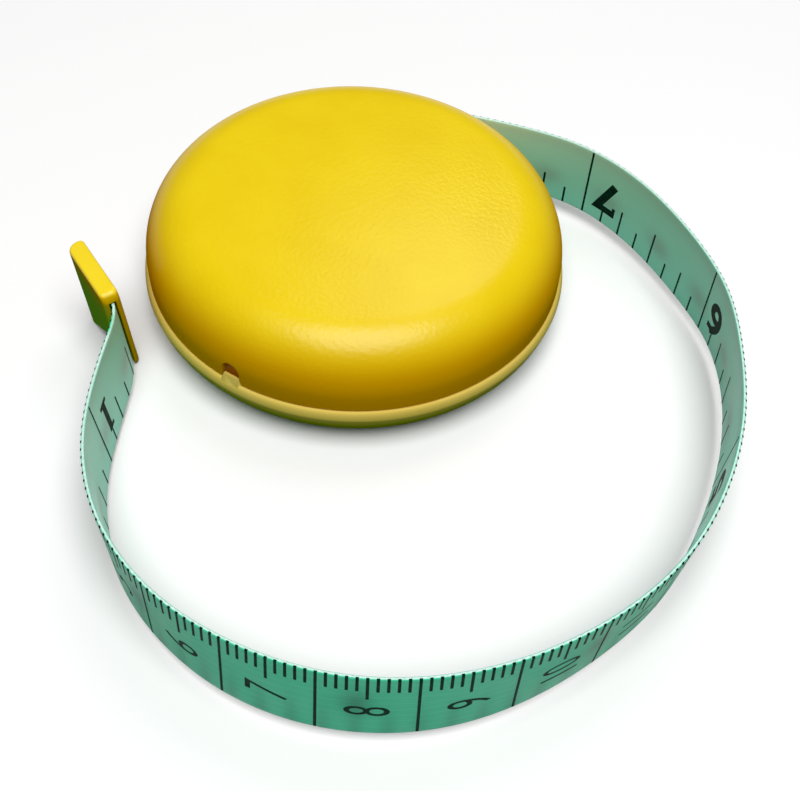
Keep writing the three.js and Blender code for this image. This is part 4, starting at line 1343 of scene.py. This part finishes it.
def build_wound():
    tree = spiral_group()
    turns = (PACK_RADIUS - PACK_INNER_RADIUS) / TURN_PITCH
    inner = ARBOR_RADIUS + SPRING_THICKNESS + RUNNING_GAP * 3
    outer = DRUM_INNER_RADIUS - FIT_GAP - SPRING_THICKNESS / 2
    half = TAPE_THICKNESS / 2
    coil_top = CROWN_CENTRE + math.sqrt((CROWN_RADIUS - SIDE_WALL) ** 2 - COIL_TOP_RADIUS ** 2)
    coil_start = coil_top - SEAT_GAP - COIL_WIRE / 2
    coil_end = COIL_WASHER_TOP + SEAT_GAP + COIL_WIRE / 2
    pack = run_tree(add_mesh("tape_pack", [], []), tree, {
        "Turns": turns, "Steps": TURN_STEPS, "Start Radius": PACK_INNER_RADIUS + half,
        "End Radius": PACK_RADIUS - half, "Base": TAPE_LOW + TAPE_WIDTH / 2, "Width": TAPE_WIDTH,
        "Thickness": TAPE_THICKNESS, "Rounding": EDGE_ROUND, "Finish": TAPE_FACE,
    })
    power = run_tree(add_mesh("power_spring", [], []), tree, {
        "Turns": float(SPRING_TURNS), "Steps": TURN_STEPS, "Start Radius": inner, "End Radius": outer,
        "Base": (SPRING_BOTTOM + SPRING_TOP) / 2, "Width": SPRING_TOP - SPRING_BOTTOM,
        "Thickness": SPRING_THICKNESS, "Rounding": SPRING_THICKNESS / 4, "Finish": BLUED_STEEL,
    })
    split_radius = COIL_TOP_RADIUS + COIL_SPREAD / COIL_TURNS
    wire = {"Steps": TURN_STEPS, "Width": COIL_WIRE, "Thickness": COIL_WIRE, "Rounding": WIRE_ROUND,
            "Finish": BRIGHT_STEEL}
    upper_coil = run_tree(add_mesh("cone_spring", [], []), tree, {
        **wire, "Turns": 1.0, "Start Radius": COIL_TOP_RADIUS, "End Radius": split_radius, "Base": coil_start,
        "Rise": -COIL_SHARE,
    })
    lower_coil = run_tree(add_mesh("cone_spring_foot", [], []), tree, {
        **wire, "Turns": COIL_TURNS - 1, "Start Radius": split_radius, "Base": coil_end + COIL_SHARE,
        "End Radius": COIL_TOP_RADIUS + COIL_SPREAD, "Rise": -COIL_SHARE,
    })
    for piece, solid, body, slot in ((pack, "wound_tape", "reel", "coated_tape"),
                                     (power, "mainspring", "reel", "steel"),
                                     (upper_coil, "return_spring", "case", "steel")):
        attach(piece, body)
        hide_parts(solid)
    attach(lower_coil, "button")


# Pieces whose CAD shape stays

def finish_solids():
    finishes = {
        "spring_arbor": BRIGHT_STEEL, "tape_anchor": BRIGHT_STEEL, "coil_washer": BRIGHT_STEEL,
        "brake_ring": BRAKE_RUBBER, "thrust_washer": REEL_PLASTIC, "reel_drum": REEL_PLASTIC,
        "reel_cover": REEL_PLASTIC,
    }
    for name, material in finishes.items():
        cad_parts[name].material_slots[0].material = material


# The studio

FLOOR_RADIUS_STUDIO = 4.0
FLOOR_SEEN = 1.0
FLOOR_BOUNCE = 0.12
LIGHT_SIZE = 0.5
LIGHT_PLACE = (0.03, -0.2, 0.59)
LIGHT_POWER = 3.78
WINDOW_SIZE = 0.26
WINDOW_PLACE = (0.1, 0.26, 0.43)
WINDOW_POWER = 0.4
SKY_LEVEL = 0.09


def seen_directly(tree):
    """1 where the camera sees a thing itself, in a reflection or through glass; 0 for light on pieces."""
    path = node(tree, "ShaderNodeLightPath").outputs
    first = node(tree, "ShaderNodeMath", {0: path["Is Camera Ray"], 1: path["Is Glossy Ray"]},
                 operation="MAXIMUM")
    return node(tree, "ShaderNodeMath", {0: first.outputs[0], 1: path["Is Transmission Ray"]},
                operation="MAXIMUM").outputs[0]


def studio_floor():
    material = bpy.data.materials.new("studio_floor")
    material.use_nodes = True
    tree = material.node_tree
    shader = tree.nodes["Principled BSDF"]
    seen = seen_directly(tree)
    tone = mix_colour(tree, seen, (FLOOR_BOUNCE,) * 3 + (1,), (FLOOR_SEEN,) * 3 + (1,))
    tree.links.new(tone, shader.inputs["Base Color"])
    shader.inputs["Roughness"].default_value = 0.9
    shader.inputs["Specular IOR Level"].default_value = 0.0
    circle = [(FLOOR_RADIUS_STUDIO * math.cos(2 * math.pi * k / ROUND_STEPS),
               FLOOR_RADIUS_STUDIO * math.sin(2 * math.pi * k / ROUND_STEPS), 0) for k in range(ROUND_STEPS)]
    add_mesh("studio_floor", circle, [tuple(range(ROUND_STEPS))], material)


def soft_box(name, place, size, power):
    """A round soft light that faces the object."""
    data = bpy.data.lights.new(name, "AREA")
    data.shape = "DISK"
    data.size = size
    data.energy = power
    lamp = add_object(name, data)
    lamp.rotation_mode = "QUATERNION"
    lamp.rotation_quaternion = Vector(place).to_track_quat("Z", "Y")
    lamp.location = place


def studio_light():
    soft_box("soft_box", LIGHT_PLACE, LIGHT_SIZE, LIGHT_POWER)
    soft_box("window", WINDOW_PLACE, WINDOW_SIZE, WINDOW_POWER)
    world = bpy.data.worlds.new("studio")
    world.use_nodes = True
    tree = world.node_tree
    back = tree.nodes["Background"]
    back.inputs["Strength"].default_value = SKY_LEVEL
    back.inputs["Color"].default_value = (1, 1, 1, 1)
    bpy.context.scene.world = world
    bpy.context.scene.view_settings.view_transform = "Standard"


add_camera()
build_tape()
build_case()
build_wound()
finish_solids()
studio_floor()
studio_light()
